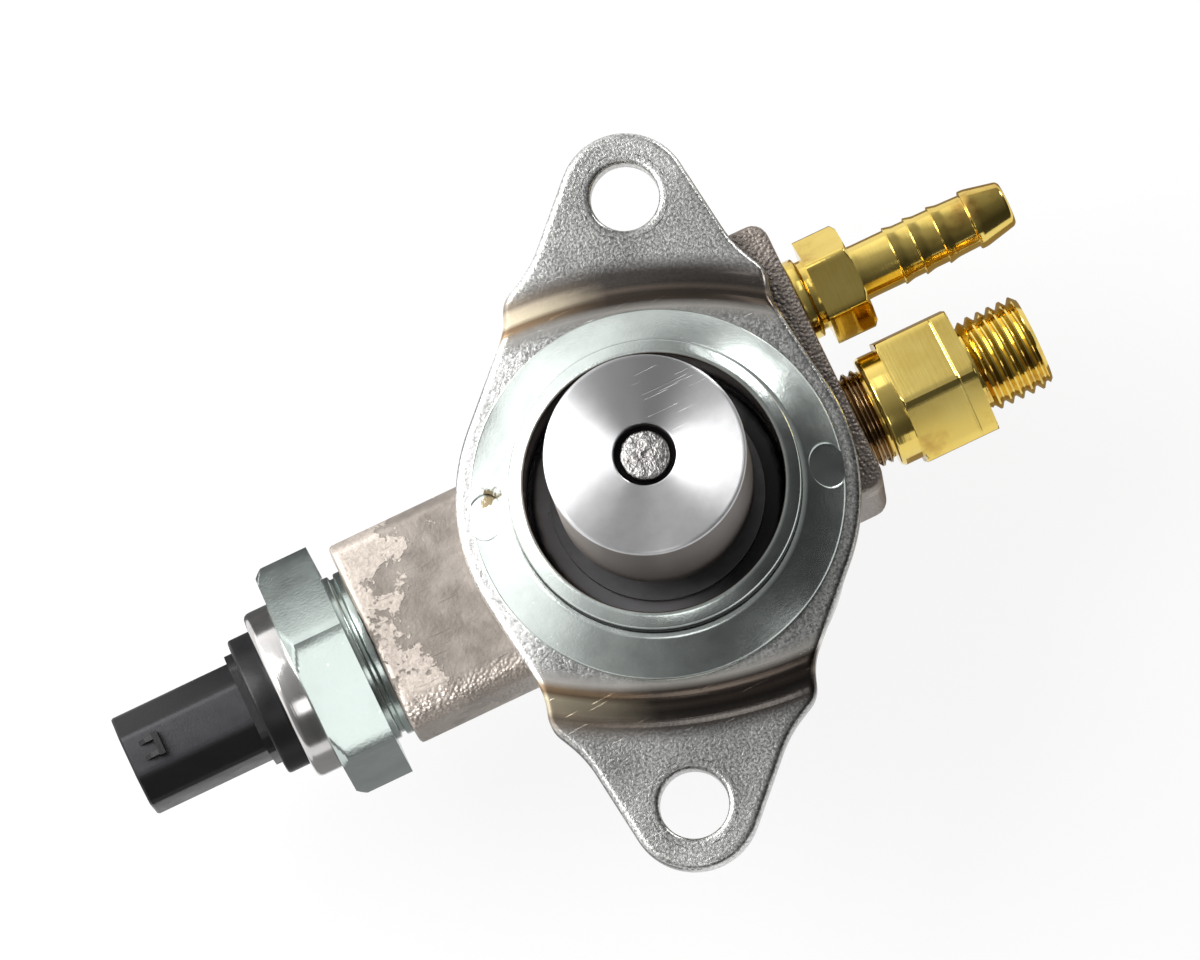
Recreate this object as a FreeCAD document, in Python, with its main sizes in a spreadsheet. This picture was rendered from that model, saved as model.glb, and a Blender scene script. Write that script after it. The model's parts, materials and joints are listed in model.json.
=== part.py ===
import FreeCAD, Part
import math
import os
import re
import Sketcher

# Single piston high pressure fuel pump, lying with the cam side up.
# Z is the pump axis towards the cam, X points along the outlet, and the
# origin is on the axis at the level of the ears' mounting faces.

os.makedirs("parts", exist_ok=True)
doc = FreeCAD.newDocument("fuel_pump")
sheet = doc.addObject("Spreadsheet::Sheet", "Dims")

DIMENSIONS = {
    # fits
    "fit_gap": 0.05,
    "slide_gap": 0.03,
    "ball_gap": 0.08,
    # pressed mounting plate
    "plate_thick": 3.0,
    "ear_drop": 2.2,
    "plate_rad": 24.5,
    "tip_rad": 8.0,
    "tip_reach": 37.5,
    "blend_step": 0.04,
    "bolt_rad": 4.2,
    "bolt_flare": 0.5,
    "ear_angle": 71.2,
    "bend_start": 23.5,
    "bend_end": 28.5,
    "bend_lead": 1.0,
    "bend_round": 2.9,
    "bow_back": 29.0,
    "wing_half": 16.3,
    "wing_start": 22.4,
    "wing_end": 26.3,
    "wing_foot": 30.2,
    "wing_foot_half": 12.42,
    "plate_bore": 15.7,
    # pilot collar
    "collar_rad": 22.75,
    "collar_edge": 0.8,
    "collar_inner": 18.1,
    "collar_rise": 4.4,
    "lip_rad": 17.6,
    "lip_bore": 15.7,
    "lip_top": 10.6,
    "lip_thick": 1.5,
    "lip_round": 0.4,
    "ring_groove": 15.95,
    "ring_wire": 0.85,
    "dimple_rad": 3.15,
    "dimple_reach": 21.0,
    "dimple_sink": 0.42,
    "dimple_angle": -17.0,
    # retainer cup and plunger
    "cup_rad": 12.0,
    "cup_wall": 1.4,
    "cup_face": 29.2,
    "cup_rim": 9.2,
    "cup_plate": 3.0,
    "cup_edge": 0.5,
    "cup_hole": 3.7,
    "cup_sink": 1.6,
    "tip_stem": 3.0,
    "tip_drop": 0.4,
    "tip_edge": 0.35,
    "piston_rad": 4.0,
    "piston_low": -5.8,
    "piston_step": 5.2,
    "coil_mean": 9.0,
    "coil_wire": 1.15,
    "coil_turns": 5.5,
    # cylinder sleeve, seal and carrier
    "sleeve_rad": 6.5,
    "sleeve_low": -7.3,
    "sleeve_top": 6.2,
    "hub_rad": 15.2,
    "hub_top": 1.7,
    "carrier_rad": 7.4,
    "carrier_wall": 0.75,
    "carrier_rim": 13.0,
    "carrier_base": 1.2,
    "carrier_top": 11.2,
    "seal_low": 6.8,
    "seal_top": 10.2,
    "chamber_rad": 4.6,
    "chamber_low": -16.8,
    # cast body
    "port_drop": -11.8,
    "drum_rad": 22.0,
    "drum_low": -28.8,
    "foot_gap": 0.1,
    "drum_foot_top": -25.8,
    "arm_half": 12.5,
    "arm_top": -1.2,
    "arm_end": 38.8,
    "arm_corner": 1.2,
    "block_end": 25.9,
    "block_right": -9.6,
    "block_left": 26.4,
    "block_top": -3.3,
    "block_low": -22.8,
    "block_round": 2.0,
    # inlet valve
    "seat_near": 12.0,
    "seat_far": 15.0,
    "seat_rad": 7.2,
    "head_space": 5.6,
    "head_near": 10.2,
    "head_thick": 1.25,
    "head_rad": 4.6,
    "needle_rad": 1.2,
    "needle_end": 36.0,
    "flow_rad": 0.95,
    "flow_pitch": 3.1,
    "arm_bore_end": 27.0,
    "armature_rad": 5.5,
    "armature_near": 30.6,
    "armature_far": 37.0,
    "core_near": 37.6,
    "core_far": 50.4,
    "core_bore": 2.3,
    "core_bore_end": 44.0,
    "armature_coil_mean": 1.65,
    "armature_coil_wire": 0.32,
    "armature_coil_turns": 7.0,
    # solenoid
    "spigot_rad": 9.0,
    "neck_rad": 10.8,
    "neck_groove": 10.3,
    "neck_mid": 39.8,
    "neck_land": 40.4,
    "hex_near": 41.2,
    "hex_far": 48.4,
    "hex_flats": 27.0,
    "hex_turn": 8.2,
    "hex_bevel": 1.3,
    "tube_rad": 6.2,
    "can_rad": 10.0,
    "can_near": 40.0,
    "bobbin_rad": 9.6,
    "bobbin_near": 40.1,
    "bobbin_far": 50.3,
    "bobbin_wall": 1.0,
    "coil_rad": 9.3,
    "cap_rad": 11.0,
    "cap_far": 51.9,
    "cap_round": 0.9,
    "cap_lip": 1.5,
    # connector
    "disc_rad": 8.9,
    "disc_far": 54.9,
    "collar_far": 55.9,
    "collar_half": 7.0,
    "shell_far": 71.6,
    "shell_half": 5.9,
    "shell_flat": 2.7,
    "shell_high": 6.6,
    "shell_low": 5.6,
    "shell_slope": 2.6,
    "shell_wall": 1.3,
    "socket_floor": 61.0,
    "blade_half": 0.8,
    "blade_thick": 0.32,
    "blade_pitch": 2.3,
    "blade_near": 53.5,
    "blade_far": 68.5,
    "latch_near": 67.2,
    "latch_far": 70.0,
    "latch_half": 1.6,
    "latch_high": 1.3,
    # outlet
    "outlet_seat_near": 9.0,
    "outlet_seat_far": 12.0,
    "outlet_root": 6.2,
    "outlet_seat_bore": 1.6,
    "outlet_ball": 2.2,
    "outlet_cavity_end": 21.5,
    "outlet_bore": 1.5,
    "outlet_coil_mean": 1.65,
    "outlet_coil_wire": 0.28,
    "outlet_coil_turns": 5.0,
    "outlet_collar_near": 28.8,
    "outlet_collar_rad": 7.2,
    "outlet_collar_long": 2.9,
    "outlet_hex_long": 9.6,
    "outlet_hex_turn": 12.5,
    "outlet_flats": 15.8,
    "outlet_neck": 5.0,
    "outlet_undercut": 0.6,
    "outlet_thread_long": 8.1,
    "outlet_thread_rad": 6.0,
    "outlet_bevel": 0.9,
    "outlet_cone": 3.6,
    "valve_travel": 0.5,
    # inlet
    "inlet_side": 16.8,
    "inlet_spigot": 4.6,
    "inlet_near": 18.0,
    "inlet_neck": 5.2,
    "inlet_neck_long": 2.5,
    "inlet_hex_long": 5.5,
    "inlet_hex_turn": 41.0,
    "inlet_flats": 12.0,
    "inlet_bevel": 0.8,
    "pipe_rad": 3.5,
    "pipe_bore": 2.1,
    "rib_rad": 3.8,
    "rib_lead": 5.2,
    "rib_gap": 2.8,
    "rib_gap_last": 3.2,
    "rib_slope": 1.3,
    "barb_lead": 4.2,
    "barb_land": 0.8,
    "barb_rad": 3.83,
    "barb_tip": 2.87,
    "barb_long": 5.1,
    "strainer_rad": 2.9,
    "strainer_wall": 0.35,
    "strainer_end": 25.0,
    "drill_rad": 1.8,
    "inlet_drill": 5.0,
    "valve_drill": 17.6,
    # relief valve
    "relief_inset": 3.3,
    "relief_bore": 2.0,
    "relief_top": -19.6,
    "relief_seat": 1.4,
    "relief_seat_bore": 1.0,
    "relief_ball": 1.92,
    "relief_drill": 0.8,
    "relief_plug": 1.2,
    "relief_plug_bore": 0.7,
    "relief_coil_mean": 1.3,
    "relief_coil_wire": 0.22,
    "relief_coil_turns": 4.0,
    # damper under the body
    "cover_rad": 21.5,
    "cover_wall": 1.1,
    "cover_low": -40.8,
    "cover_round": 3.0,
    "capsule_gap": 0.1,
    "capsule_rim": 1.1,
    "capsule_slope": 4.4,
    "capsule_mid": -34.8,
    "capsule_rise": 2.4,
    "capsule_skin": 0.35,
    "support_wall": 1.0,
    "support_gap": 2.8,
    "support_low": -39.6,
    # seals
    "seal_wire": 0.75,
    "seal_room": 1.6,
}

for row, (alias, value) in enumerate(DIMENSIONS.items(), start=1):
    sheet.set("A%d" % row, alias)
    sheet.set("B%d" % row, "%g" % value)
    sheet.setAlias("B%d" % row, alias)
doc.recompute()

UP = FreeCAD.Vector(0, 0, 1)
ALONG_ARM = FreeCAD.Rotation(FreeCAD.Vector(0, 1, 0), -90)
ALONG_OUTLET = FreeCAD.Rotation(FreeCAD.Vector(0, 1, 0), 90)


def bind(text):
    """Write each dimension's name the way an expression refers to it."""
    return re.sub(r"[a-z_]{4,}", lambda word: "Dims." + word.group(0)
                  if word.group(0) in DIMENSIONS else word.group(0), text)


def place(item, rotation=FreeCAD.Rotation(), base=("0", "0", "0")):
    """Turn an object and bind its base point to the sheet."""
    item.Placement = FreeCAD.Placement(FreeCAD.Vector(0, 0, 0), rotation)
    for axis, text in zip("xyz", base):
        item.setExpression("Placement.Base." + axis, bind(text))


def origin_plane(body, role):
    for feature in body.Origin.OriginFeatures:
        if feature.Role == role:
            return feature
    raise ValueError(role)


def outline(body, role, points):
    """Closed sketch whose corners are bound to the sheet."""
    sketch = body.newObject("Sketcher::SketchObject", body.Name + "_outline")
    sketch.AttachmentSupport = [(origin_plane(body, role), "")]
    sketch.MapMode = "FlatFace"
    count = len(points)
    spots = []
    for index in range(count):
        turn = 2 * math.pi * index / count
        spots.append(FreeCAD.Vector(20 + 10 * math.cos(turn), 20 + 10 * math.sin(turn), 0))
    for index in range(count):
        sketch.addGeometry(Part.LineSegment(spots[index], spots[(index + 1) % count]), False)
    for index in range(count):
        sketch.addConstraint(Sketcher.Constraint("Coincident", index, 2, (index + 1) % count, 1))
    for index, corner in enumerate(points):
        for kind, text, value in (("DistanceX", corner[0], spots[index].x),
                                  ("DistanceY", corner[1], spots[index].y)):
            number = sketch.addConstraint(Sketcher.Constraint(kind, -1, 1, index, 1, value))
            name = "%s%d" % (kind[-1].lower() + "_at", index)
            sketch.renameConstraint(number, name)
            sketch.setExpression("Constraints." + name, bind(text))
    return sketch


def turned(name, points, rotation=FreeCAD.Rotation(), base=("0", "0", "0")):
    """Revolved body: corners are (radius, height along the axis)."""
    body = doc.addObject("PartDesign::Body", name)
    sketch = outline(body, "XZ_Plane", points)
    spin = body.newObject("PartDesign::Revolution", name + "_spin")
    spin.Profile = sketch
    spin.ReferenceAxis = (sketch, ["V_Axis"])
    spin.Angle = 360
    body.Tip = spin
    place(body, rotation, base)
    return body


def prism(name, role, points, depth, rotation=FreeCAD.Rotation(), base=("0", "0", "0"), middle=False):
    """Padded body: corners lie in the origin plane that role names."""
    body = doc.addObject("PartDesign::Body", name)
    sketch = outline(body, role, points)
    pad = body.newObject("PartDesign::Pad", name + "_pad")
    pad.Profile = sketch
    pad.SideType = "Symmetric" if middle else "One side"
    pad.setExpression("Length", bind(depth))
    body.Tip = pad
    place(body, rotation, base)
    return body


def ball(name, radius, base):
    item = doc.addObject("Part::Sphere", name)
    item.setExpression("Radius", bind(radius))
    place(item, base=base)
    return item


def ring(name, major, wire, rotation=FreeCAD.Rotation(), base=("0", "0", "0")):
    item = doc.addObject("Part::Torus", name)
    item.setExpression("Radius1", bind(major))
    item.setExpression("Radius2", bind(wire))
    place(item, rotation, base)
    return item


def spring(name, mean, wire, length, turns, rotation=FreeCAD.Rotation(), base=("0", "0", "0")):
    """Round wire coil whose wire stays inside the stated length."""
    path = doc.addObject("Part::Helix", name + "_path")
    path.setExpression("Radius", bind(mean))
    path.setExpression("Height", bind("%s - 2 * %s" % (length, wire)))
    path.setExpression("Pitch", bind("(%s - 2 * %s) / %s" % (length, wire, turns)))
    path.SegmentLength = 1.0
    section = doc.addObject("Part::Circle", name + "_section")
    section.setExpression("Radius", bind(wire))
    section.Placement = FreeCAD.Placement(FreeCAD.Vector(0, 0, 0),
                                          FreeCAD.Rotation(FreeCAD.Vector(1, 0, 0), 90))
    section.setExpression("Placement.Base.x", bind(mean))
    coil = doc.addObject("Part::Sweep", name)
    coil.Sections = [section]
    coil.Spine = (path, [])
    coil.Solid = True
    coil.Frenet = True
    place(coil, rotation, base)
    return coil


def fuse(name, *pieces):
    item = doc.addObject("Part::MultiFuse", name)
    item.Shapes = list(pieces)
    item.Refine = True
    return item


def common(name, *pieces):
    item = doc.addObject("Part::MultiCommon", name)
    item.Shapes = list(pieces)
    return item


def cut(name, base, *tools):
    item = doc.addObject("Part::Cut", name)
    item.Base = base
    item.Tool = tools[0] if len(tools) == 1 else fuse(name + "_tools", *tools)
    item.Refine = True
    return item


def drill(name, radius, start, end, rotation=FreeCAD.Rotation(), base=("0", "0", "0")):
    """Cylinder along a local axis from one station to another."""
    return turned(name, [("0", start), (radius, start), (radius, end), ("0", end)], rotation, base)


def hexagon(name, flats, start, end, bevel, both, rotation, base, turn="0"):
    """Hexagonal prism whose ends carry the turned bevel of a nut."""
    corners = []
    for index in range(6):
        angle = "(%s + %d)" % (turn, 60 * index)
        reach = "%s / sqrt(3)" % flats
        corners.append(("%s * cos(%s)" % (reach, angle), "%s * sin(%s)" % (reach, angle)))
    length = "%s - %s" % (end, start)
    shift = (base[0] + (" + " if rotation is ALONG_OUTLET else " - ") + start, base[1], base[2])
    bar = prism(name + "_bar", "XY_Plane", corners, length, rotation, shift)
    wide = "%s / sqrt(3) + 0.01" % flats
    crown = "%s / 2 - 0.2" % flats
    low = [("0", "0"), (crown, "0"), (wide, bevel)] if both else [("0", "0"), (wide, "0")]
    high = [(wide, "%s - %s" % (length, bevel)), (crown, length), ("0", length)]
    dome = turned(name + "_crown", low + high, rotation, shift)
    return common(name, bar, dome)


PORT = ("0", "0", "port_drop")
INLET = ("0", "inlet_side", "port_drop")

# Each step along a port starts where the step before it ends.
OUTLET_HEX = "(outlet_collar_near + outlet_collar_long)"
OUTLET_HEX_END = "(%s + outlet_hex_long)" % OUTLET_HEX
OUTLET_THREAD = "(%s + outlet_undercut)" % OUTLET_HEX_END
OUTLET_END = "(%s + outlet_thread_long)" % OUTLET_THREAD
INLET_HEX = "(block_end + inlet_neck_long)"
INLET_HEX_END = "(%s + inlet_hex_long)" % INLET_HEX
FIRST_RIB = "(%s + rib_lead)" % INLET_HEX_END
SECOND_RIB = "(%s + rib_gap)" % FIRST_RIB
THIRD_RIB = "(%s + rib_gap_last)" % SECOND_RIB
BARB = "(%s + barb_lead)" % THIRD_RIB
BARB_END = "(%s + barb_long)" % BARB

# The damper room sets the foot of the body and everything that stands in it.
ROOM = "(cover_rad - cover_wall)"
FOOT = "(%s - foot_gap)" % ROOM
RELIEF_SIDE = "(%s - relief_inset)" % FOOT
SUPPORT = "(%s - support_gap)" % ROOM
CAPSULE = "(%s - support_wall - capsule_gap)" % SUPPORT
CAPSULE_EDGE = "(%s - capsule_rim)" % CAPSULE
CAPSULE_FLAT = "(%s - capsule_slope)" % CAPSULE_EDGE
NODES = {}


# Mounting plate: a joggled section turned on a wide arc gives each bowed bend,
# rounded like pressed sheet, and one flat outline trims both halves.
def plate_half(name, turn):
    far_end = "bow_back + tip_reach + tip_rad + 5"
    bends = [("bow_back + bend_start + bend_lead", "ear_drop"), ("bow_back + bend_end - bend_lead", "0")]
    top = [("bow_back", "ear_drop")] + bends + [(far_end, "0")]
    under = [(reach, height + " - plate_thick") for reach, height in reversed(top)]
    body = turned(name, top + under, FreeCAD.Rotation(UP, DIMENSIONS["ear_angle"] + turn),
                  ("-bow_back * cos(ear_angle + %d)" % turn, "-bow_back * sin(ear_angle + %d)" % turn, "0"))
    spin = body.Tip
    spin.Angle = 140
    spin.Midplane = True
    doc.recompute()
    low = DIMENSIONS["bow_back"] + DIMENSIONS["bend_start"]
    high = DIMENSIONS["bow_back"] + DIMENSIONS["bend_end"]
    names = []
    for number, edge in enumerate(spin.Shape.Edges, start=1):
        if edge.Curve.TypeId == "Part::GeomCircle" and low < edge.Curve.Radius < high:
            names.append("Edge%d" % number)
    soften = body.newObject("PartDesign::Fillet", name + "_bends")
    soften.Base = (spin, names)
    soften.setExpression("Radius", bind("bend_round"))
    body.Tip = soften
    return body


def ear_outline():
    """Corners of one side of the plate: tangent flank with the joggle's wing."""
    lean = "acos((plate_rad - tip_rad) / tip_reach)"
    flank = [("(plate_rad - blend_step) * cos(%s)" % lean, "(plate_rad - blend_step) * sin(%s)" % lean),
             ("wing_start", "wing_half"), ("wing_end", "wing_half"), ("wing_foot", "wing_foot_half"),
             ("tip_reach + (tip_rad - blend_step) * cos(%s)" % lean,
              "(tip_rad - blend_step) * sin(%s)" % lean)]
    return flank


flank = ear_outline()
right = flank + [(x, "-(%s)" % y) for x, y in reversed(flank)]
EAR_TURN = FreeCAD.Rotation(UP, DIMENSIONS["ear_angle"])
BACK_TURN = FreeCAD.Rotation(UP, DIMENSIONS["ear_angle"] + 180)
floor = ("0", "0", "-3 * plate_thick")
trim = [drill("plate_disc", "plate_rad", "-3 * plate_thick", "3 * plate_thick")]
holes = [drill("plate_bore", "plate_bore", "-3 * plate_thick", "3 * plate_thick")]
for label, rotation, sign in (("front", EAR_TURN, ""), ("back", BACK_TURN, "-")):
    trim.append(prism("ear_web_" + label, "XY_Plane", right, "6 * plate_thick", rotation, floor))
    spot = (sign + "tip_reach * cos(ear_angle)", sign + "tip_reach * sin(ear_angle)", "0")
    trim.append(drill("ear_tip_" + label, "tip_rad", "-3 * plate_thick", "3 * plate_thick", base=spot))
    flare = [("0", "-2 * plate_thick"), ("bolt_rad", "-2 * plate_thick"), ("bolt_rad", "-bolt_flare"),
             ("bolt_rad + bolt_flare * 0.3", "-bolt_flare * 0.3"), ("bolt_rad + bolt_flare", "0"),
             ("bolt_rad + bolt_flare", "plate_thick"), ("0", "plate_thick")]
    holes.append(turned("bolt_hole_" + label, flare, base=spot))
sheet_metal = fuse("plate_sheet", plate_half("plate_front", 0), plate_half("plate_back", 180))
blank = common("plate_blank", sheet_metal, fuse("plate_trim", *trim))
NODES["mounting_flange"] = cut("flange", blank, *holes)

# Pilot collar with its sloping shoulder, ring groove, lip and two stake dimples.
collar = turned("collar_turned", [
    ("lip_bore", "ear_drop"), ("collar_rad", "ear_drop"), ("collar_rad", "ear_drop + collar_edge"),
    ("collar_inner", "ear_drop + collar_rise"), ("lip_rad", "ear_drop + collar_rise + 0.2"),
    ("lip_rad", "ear_drop + collar_rise"), ("ring_groove", "ear_drop + collar_rise"),
    ("ring_groove", "lip_top - lip_thick"), ("lip_rad", "lip_top - lip_thick"),
    ("lip_rad", "lip_top - lip_round"), ("lip_rad - lip_round", "lip_top"),
    ("lip_bore + lip_round", "lip_top"), ("lip_bore", "lip_top - lip_round")])
run = DIMENSIONS["collar_rad"] - DIMENSIONS["collar_inner"]
rise = DIMENSIONS["collar_rise"] - DIMENSIONS["collar_edge"]
shoulder_lean = FreeCAD.Rotation(FreeCAD.Vector(0, 1, 0), math.degrees(math.atan2(rise, run)))
DIMPLE_FOOT = ("ear_drop + collar_edge + (collar_rad - dimple_reach)"
               " * (collar_rise - collar_edge) / (collar_rad - collar_inner)")
dimples = []
for label, half_turn in (("right", 0), ("left", 180)):
    spot = ("dimple_reach * cos(dimple_angle + %d)" % half_turn,
            "dimple_reach * sin(dimple_angle + %d)" % half_turn, DIMPLE_FOOT)
    lean = FreeCAD.Rotation(UP, DIMENSIONS["dimple_angle"] + half_turn) * shoulder_lean
    dimples.append(drill("dimple_" + label, "dimple_rad", "-dimple_sink", "collar_rise", lean, spot))
NODES["pilot_collar"] = cut("collar", collar, *dimples)
NODES["pilot_o_ring"] = ring("pilot_ring", "ring_groove + ring_wire", "ring_wire",
                             base=("0", "0", "(ear_drop + collar_rise + lip_top - lip_thick) / 2"))

# Spring retainer, plunger and return spring.
NODES["spring_retainer"] = turned("retainer", [
    ("tip_stem", "cup_face - cup_plate"), ("cup_rad - cup_wall", "cup_face - cup_plate"),
    ("cup_rad - cup_wall", "cup_rim"), ("cup_rad", "cup_rim"), ("cup_rad", "cup_face - cup_edge"),
    ("cup_rad - cup_edge", "cup_face"), ("cup_hole", "cup_face"), ("cup_hole", "cup_face - cup_sink"),
    ("tip_stem", "cup_face - cup_sink")])
NODES["plunger"] = turned("piston", [
    ("0", "piston_low"), ("piston_rad - slide_gap - tip_edge", "piston_low"),
    ("piston_rad - slide_gap", "piston_low + tip_edge"), ("piston_rad - slide_gap", "piston_step"),
    ("tip_stem", "piston_step + 0.8"), ("tip_stem", "cup_face - tip_drop - tip_edge"),
    ("tip_stem - tip_edge", "cup_face - tip_drop"), ("0", "cup_face - tip_drop")])
NODES["plunger_spring"] = spring("return_spring", "coil_mean", "coil_wire",
                                 "(cup_face - cup_plate - hub_top - carrier_base)", "coil_turns",
                                 base=("0", "0", "hub_top + carrier_base + coil_wire"))

# Cylinder sleeve, seal carrier and plunger seal.
NODES["cylinder_sleeve"] = turned("sleeve", [
    ("piston_rad", "sleeve_low"), ("sleeve_rad", "sleeve_low"), ("sleeve_rad", "sleeve_top"),
    ("piston_rad", "sleeve_top")])
NODES["seal_carrier"] = turned("carrier", [
    ("sleeve_rad + fit_gap", "hub_top"), ("carrier_rim", "hub_top"),
    ("carrier_rim", "hub_top + carrier_base"), ("carrier_rad", "hub_top + carrier_base"),
    ("carrier_rad", "carrier_top"), ("tip_stem + 1", "carrier_top"),
    ("tip_stem + 1", "carrier_top - carrier_wall"), ("sleeve_rad + fit_gap", "carrier_top - carrier_wall")])
NODES["plunger_seal"] = turned("seal", [
    ("tip_stem + fit_gap", "seal_low"), ("sleeve_rad", "seal_low"), ("sleeve_rad", "seal_top"),
    ("tip_stem + 0.9", "seal_top"), ("tip_stem + 0.9", "seal_low + 1.6"),
    ("tip_stem + fit_gap", "seal_low + 1.2")])

# Cast body: drum under the plate, valve arm with a half round belly and port block.
drum = turned("drum", [
    ("0", "drum_low"), (FOOT, "drum_low"), (FOOT, "drum_foot_top"),
    ("drum_rad", "drum_foot_top"), ("drum_rad", "ear_drop - plate_thick"),
    ("hub_rad", "ear_drop - plate_thick"), ("hub_rad", "hub_top"), ("0", "hub_top")])


def arm():
    body = doc.addObject("PartDesign::Body", "arm")
    sketch = body.newObject("Sketcher::SketchObject", "arm_section")
    sketch.AttachmentSupport = [(origin_plane(body, "YZ_Plane"), "")]
    sketch.MapMode = "FlatFace"
    half = DIMENSIONS["arm_half"]
    mid = DIMENSIONS["port_drop"]
    top = DIMENSIONS["arm_top"]
    corner = DIMENSIONS["arm_corner"]
    belly = Part.Circle(FreeCAD.Vector(0, mid, 0), FreeCAD.Vector(0, 0, 1), half)
    sketch.addGeometry(Part.ArcOfCircle(belly, math.pi, 2 * math.pi), False)
    spots = [(half, mid), (half, top - corner), (half - corner, top), (corner - half, top),
             (-half, top - corner), (-half, mid)]
    for first, second in zip(spots, spots[1:]):
        sketch.addGeometry(Part.LineSegment(FreeCAD.Vector(first[0], first[1], 0),
                                            FreeCAD.Vector(second[0], second[1], 0)), False)
    for index in range(1, 5):
        sketch.addConstraint(Sketcher.Constraint("Coincident", index, 2, index + 1, 1))
    sketch.addConstraint(Sketcher.Constraint("Tangent", 0, 2, 1, 1))
    sketch.addConstraint(Sketcher.Constraint("Tangent", 5, 2, 0, 1))
    sizes = [("DistanceX", 1, 1, "arm_half"), ("DistanceY", 1, 1, "port_drop"),
             ("DistanceY", 1, 2, "arm_top - arm_corner"), ("DistanceX", 3, 1, "arm_half - arm_corner"),
             ("DistanceY", 3, 1, "arm_top"), ("DistanceX", 4, 1, "arm_corner - arm_half"),
             ("DistanceY", 4, 1, "arm_top"), ("DistanceX", 5, 1, "-arm_half"),
             ("DistanceY", 5, 1, "arm_top - arm_corner")]
    for number, (kind, item, spot, text) in enumerate(sizes):
        point = sketch.getPoint(item, spot)
        value = point.x if kind == "DistanceX" else point.y
        index = sketch.addConstraint(Sketcher.Constraint(kind, -1, 1, item, spot, value))
        sketch.renameConstraint(index, "size%d" % number)
        sketch.setExpression("Constraints.size%d" % number, bind(text))
    sketch.addConstraint(Sketcher.Constraint("PointOnObject", 0, 3, -2))
    pad = body.newObject("PartDesign::Pad", "arm_pad")
    pad.Profile = sketch
    pad.Reversed = True
    pad.setExpression("Length", bind("arm_end"))
    body.Tip = pad
    return body


def rounded_block():
    body = prism("block", "XY_Plane", [
        ("0", "block_right"), ("block_end", "block_right"), ("block_end", "block_left"),
        ("0", "block_left")], "block_top - block_low", base=("0", "0", "block_low"))
    doc.recompute()
    pad = body.Tip
    names = []
    for number, edge in enumerate(pad.Shape.Edges, start=1):
        box = edge.BoundBox
        if box.XMin > 1 and box.XLength + box.YLength < 0.01:
            names.append("Edge%d" % number)
    bevel = body.newObject("PartDesign::Fillet", "block_fillet")
    bevel.Base = (pad, names)
    bevel.setExpression("Radius", bind("block_round"))
    body.Tip = bevel
    return body


# The block's far inner corner would leave the drum, so a slanted cut brings it back.
slant = prism("block_slant", "XY_Plane", [
    ("-1", "drum_rad - 2"), ("9", "block_left - 1"), ("13", "block_left + 1"), ("-1", "block_left + 1")],
    "40", base=("0", "0", "drum_low"))
arm_body = arm()
block = cut("block_trimmed", rounded_block(), slant)
bores = [
    drill("sleeve_bore", "sleeve_rad + fit_gap", "sleeve_low", "hub_top + 1"),
    drill("chamber", "chamber_rad", "chamber_low", "sleeve_low"),
    drill("head_bore", "head_space", "0", "seat_near", ALONG_ARM, PORT),
    drill("seat_bore", "seat_rad + fit_gap", "seat_near", "arm_bore_end", ALONG_ARM, PORT),
    drill("spigot_bore", "spigot_rad + fit_gap", "arm_bore_end", "arm_end + 1", ALONG_ARM, PORT),
    drill("outlet_link", "outlet_seat_bore", "0", "outlet_seat_near", ALONG_OUTLET, PORT),
    drill("outlet_bore", "outlet_root + fit_gap", "outlet_seat_near", "block_end + 1", ALONG_OUTLET, PORT),
    drill("inlet_bore", "inlet_spigot + fit_gap", "inlet_near", "block_end + 1", ALONG_OUTLET, INLET),
    drill("inlet_link", "drill_rad - 0.2", "inlet_drill", "inlet_near + 1", ALONG_OUTLET, INLET),
    drill("inlet_drop", "drill_rad", "drum_low - 1", "port_drop", base=("inlet_drill", "inlet_side", "0")),
    drill("valve_feed", "drill_rad - 0.4", "drum_low - 1", "port_drop", base=("-valve_drill", "0", "0")),
    drill("relief_hole", "relief_bore", "drum_low - 1", "relief_top", base=(RELIEF_SIDE, "0", "0")),
    drill("relief_link", "relief_drill", "relief_top - 1", "port_drop", base=(RELIEF_SIDE, "0", "0"))]
NODES["pump_body"] = cut("casting", fuse("casting_blank", drum, arm_body, block), *bores)

# Inlet valve: seat plate with four flow holes, needle, armature and its spring.
ports = []
for index in range(4):
    turn = 45 + 90 * index
    ports.append(drill("flow_%d" % index, "flow_rad", "seat_near - 1", "seat_far + 1", ALONG_ARM,
                       ("0", "flow_pitch * sin(%d)" % turn, "port_drop + flow_pitch * cos(%d)" % turn)))
plain_seat = turned("inlet_seat_disc", [
    ("needle_rad + slide_gap", "seat_near"), ("seat_rad", "seat_near"), ("seat_rad", "seat_far"),
    ("needle_rad + slide_gap", "seat_far")], ALONG_ARM, PORT)
NODES["inlet_valve_seat"] = cut("inlet_seat", plain_seat, *ports)
NODES["inlet_valve_needle"] = turned("needle", [
    ("0", "head_near"), ("head_rad", "head_near"), ("head_rad", "head_near + head_thick"),
    ("needle_rad", "head_near + head_thick"), ("needle_rad", "needle_end"), ("0", "needle_end")],
    ALONG_ARM, PORT)
NODES["armature"] = turned("plunger_iron", [
    ("needle_rad", "armature_near"), ("armature_rad - 0.6", "armature_near"),
    ("armature_rad", "armature_near + 0.6"), ("armature_rad", "armature_far"),
    ("needle_rad + 1.1", "armature_far"), ("needle_rad + 1.1", "needle_end"),
    ("needle_rad", "needle_end")], ALONG_ARM, PORT)
NODES["armature_spring"] = spring("armature_coil", "armature_coil_mean", "armature_coil_wire",
                                  "(core_bore_end - needle_end - 0.6)", "armature_coil_turns", ALONG_ARM,
                                  ("-needle_end - armature_coil_wire - 0.02", "0", "port_drop"))

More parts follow.
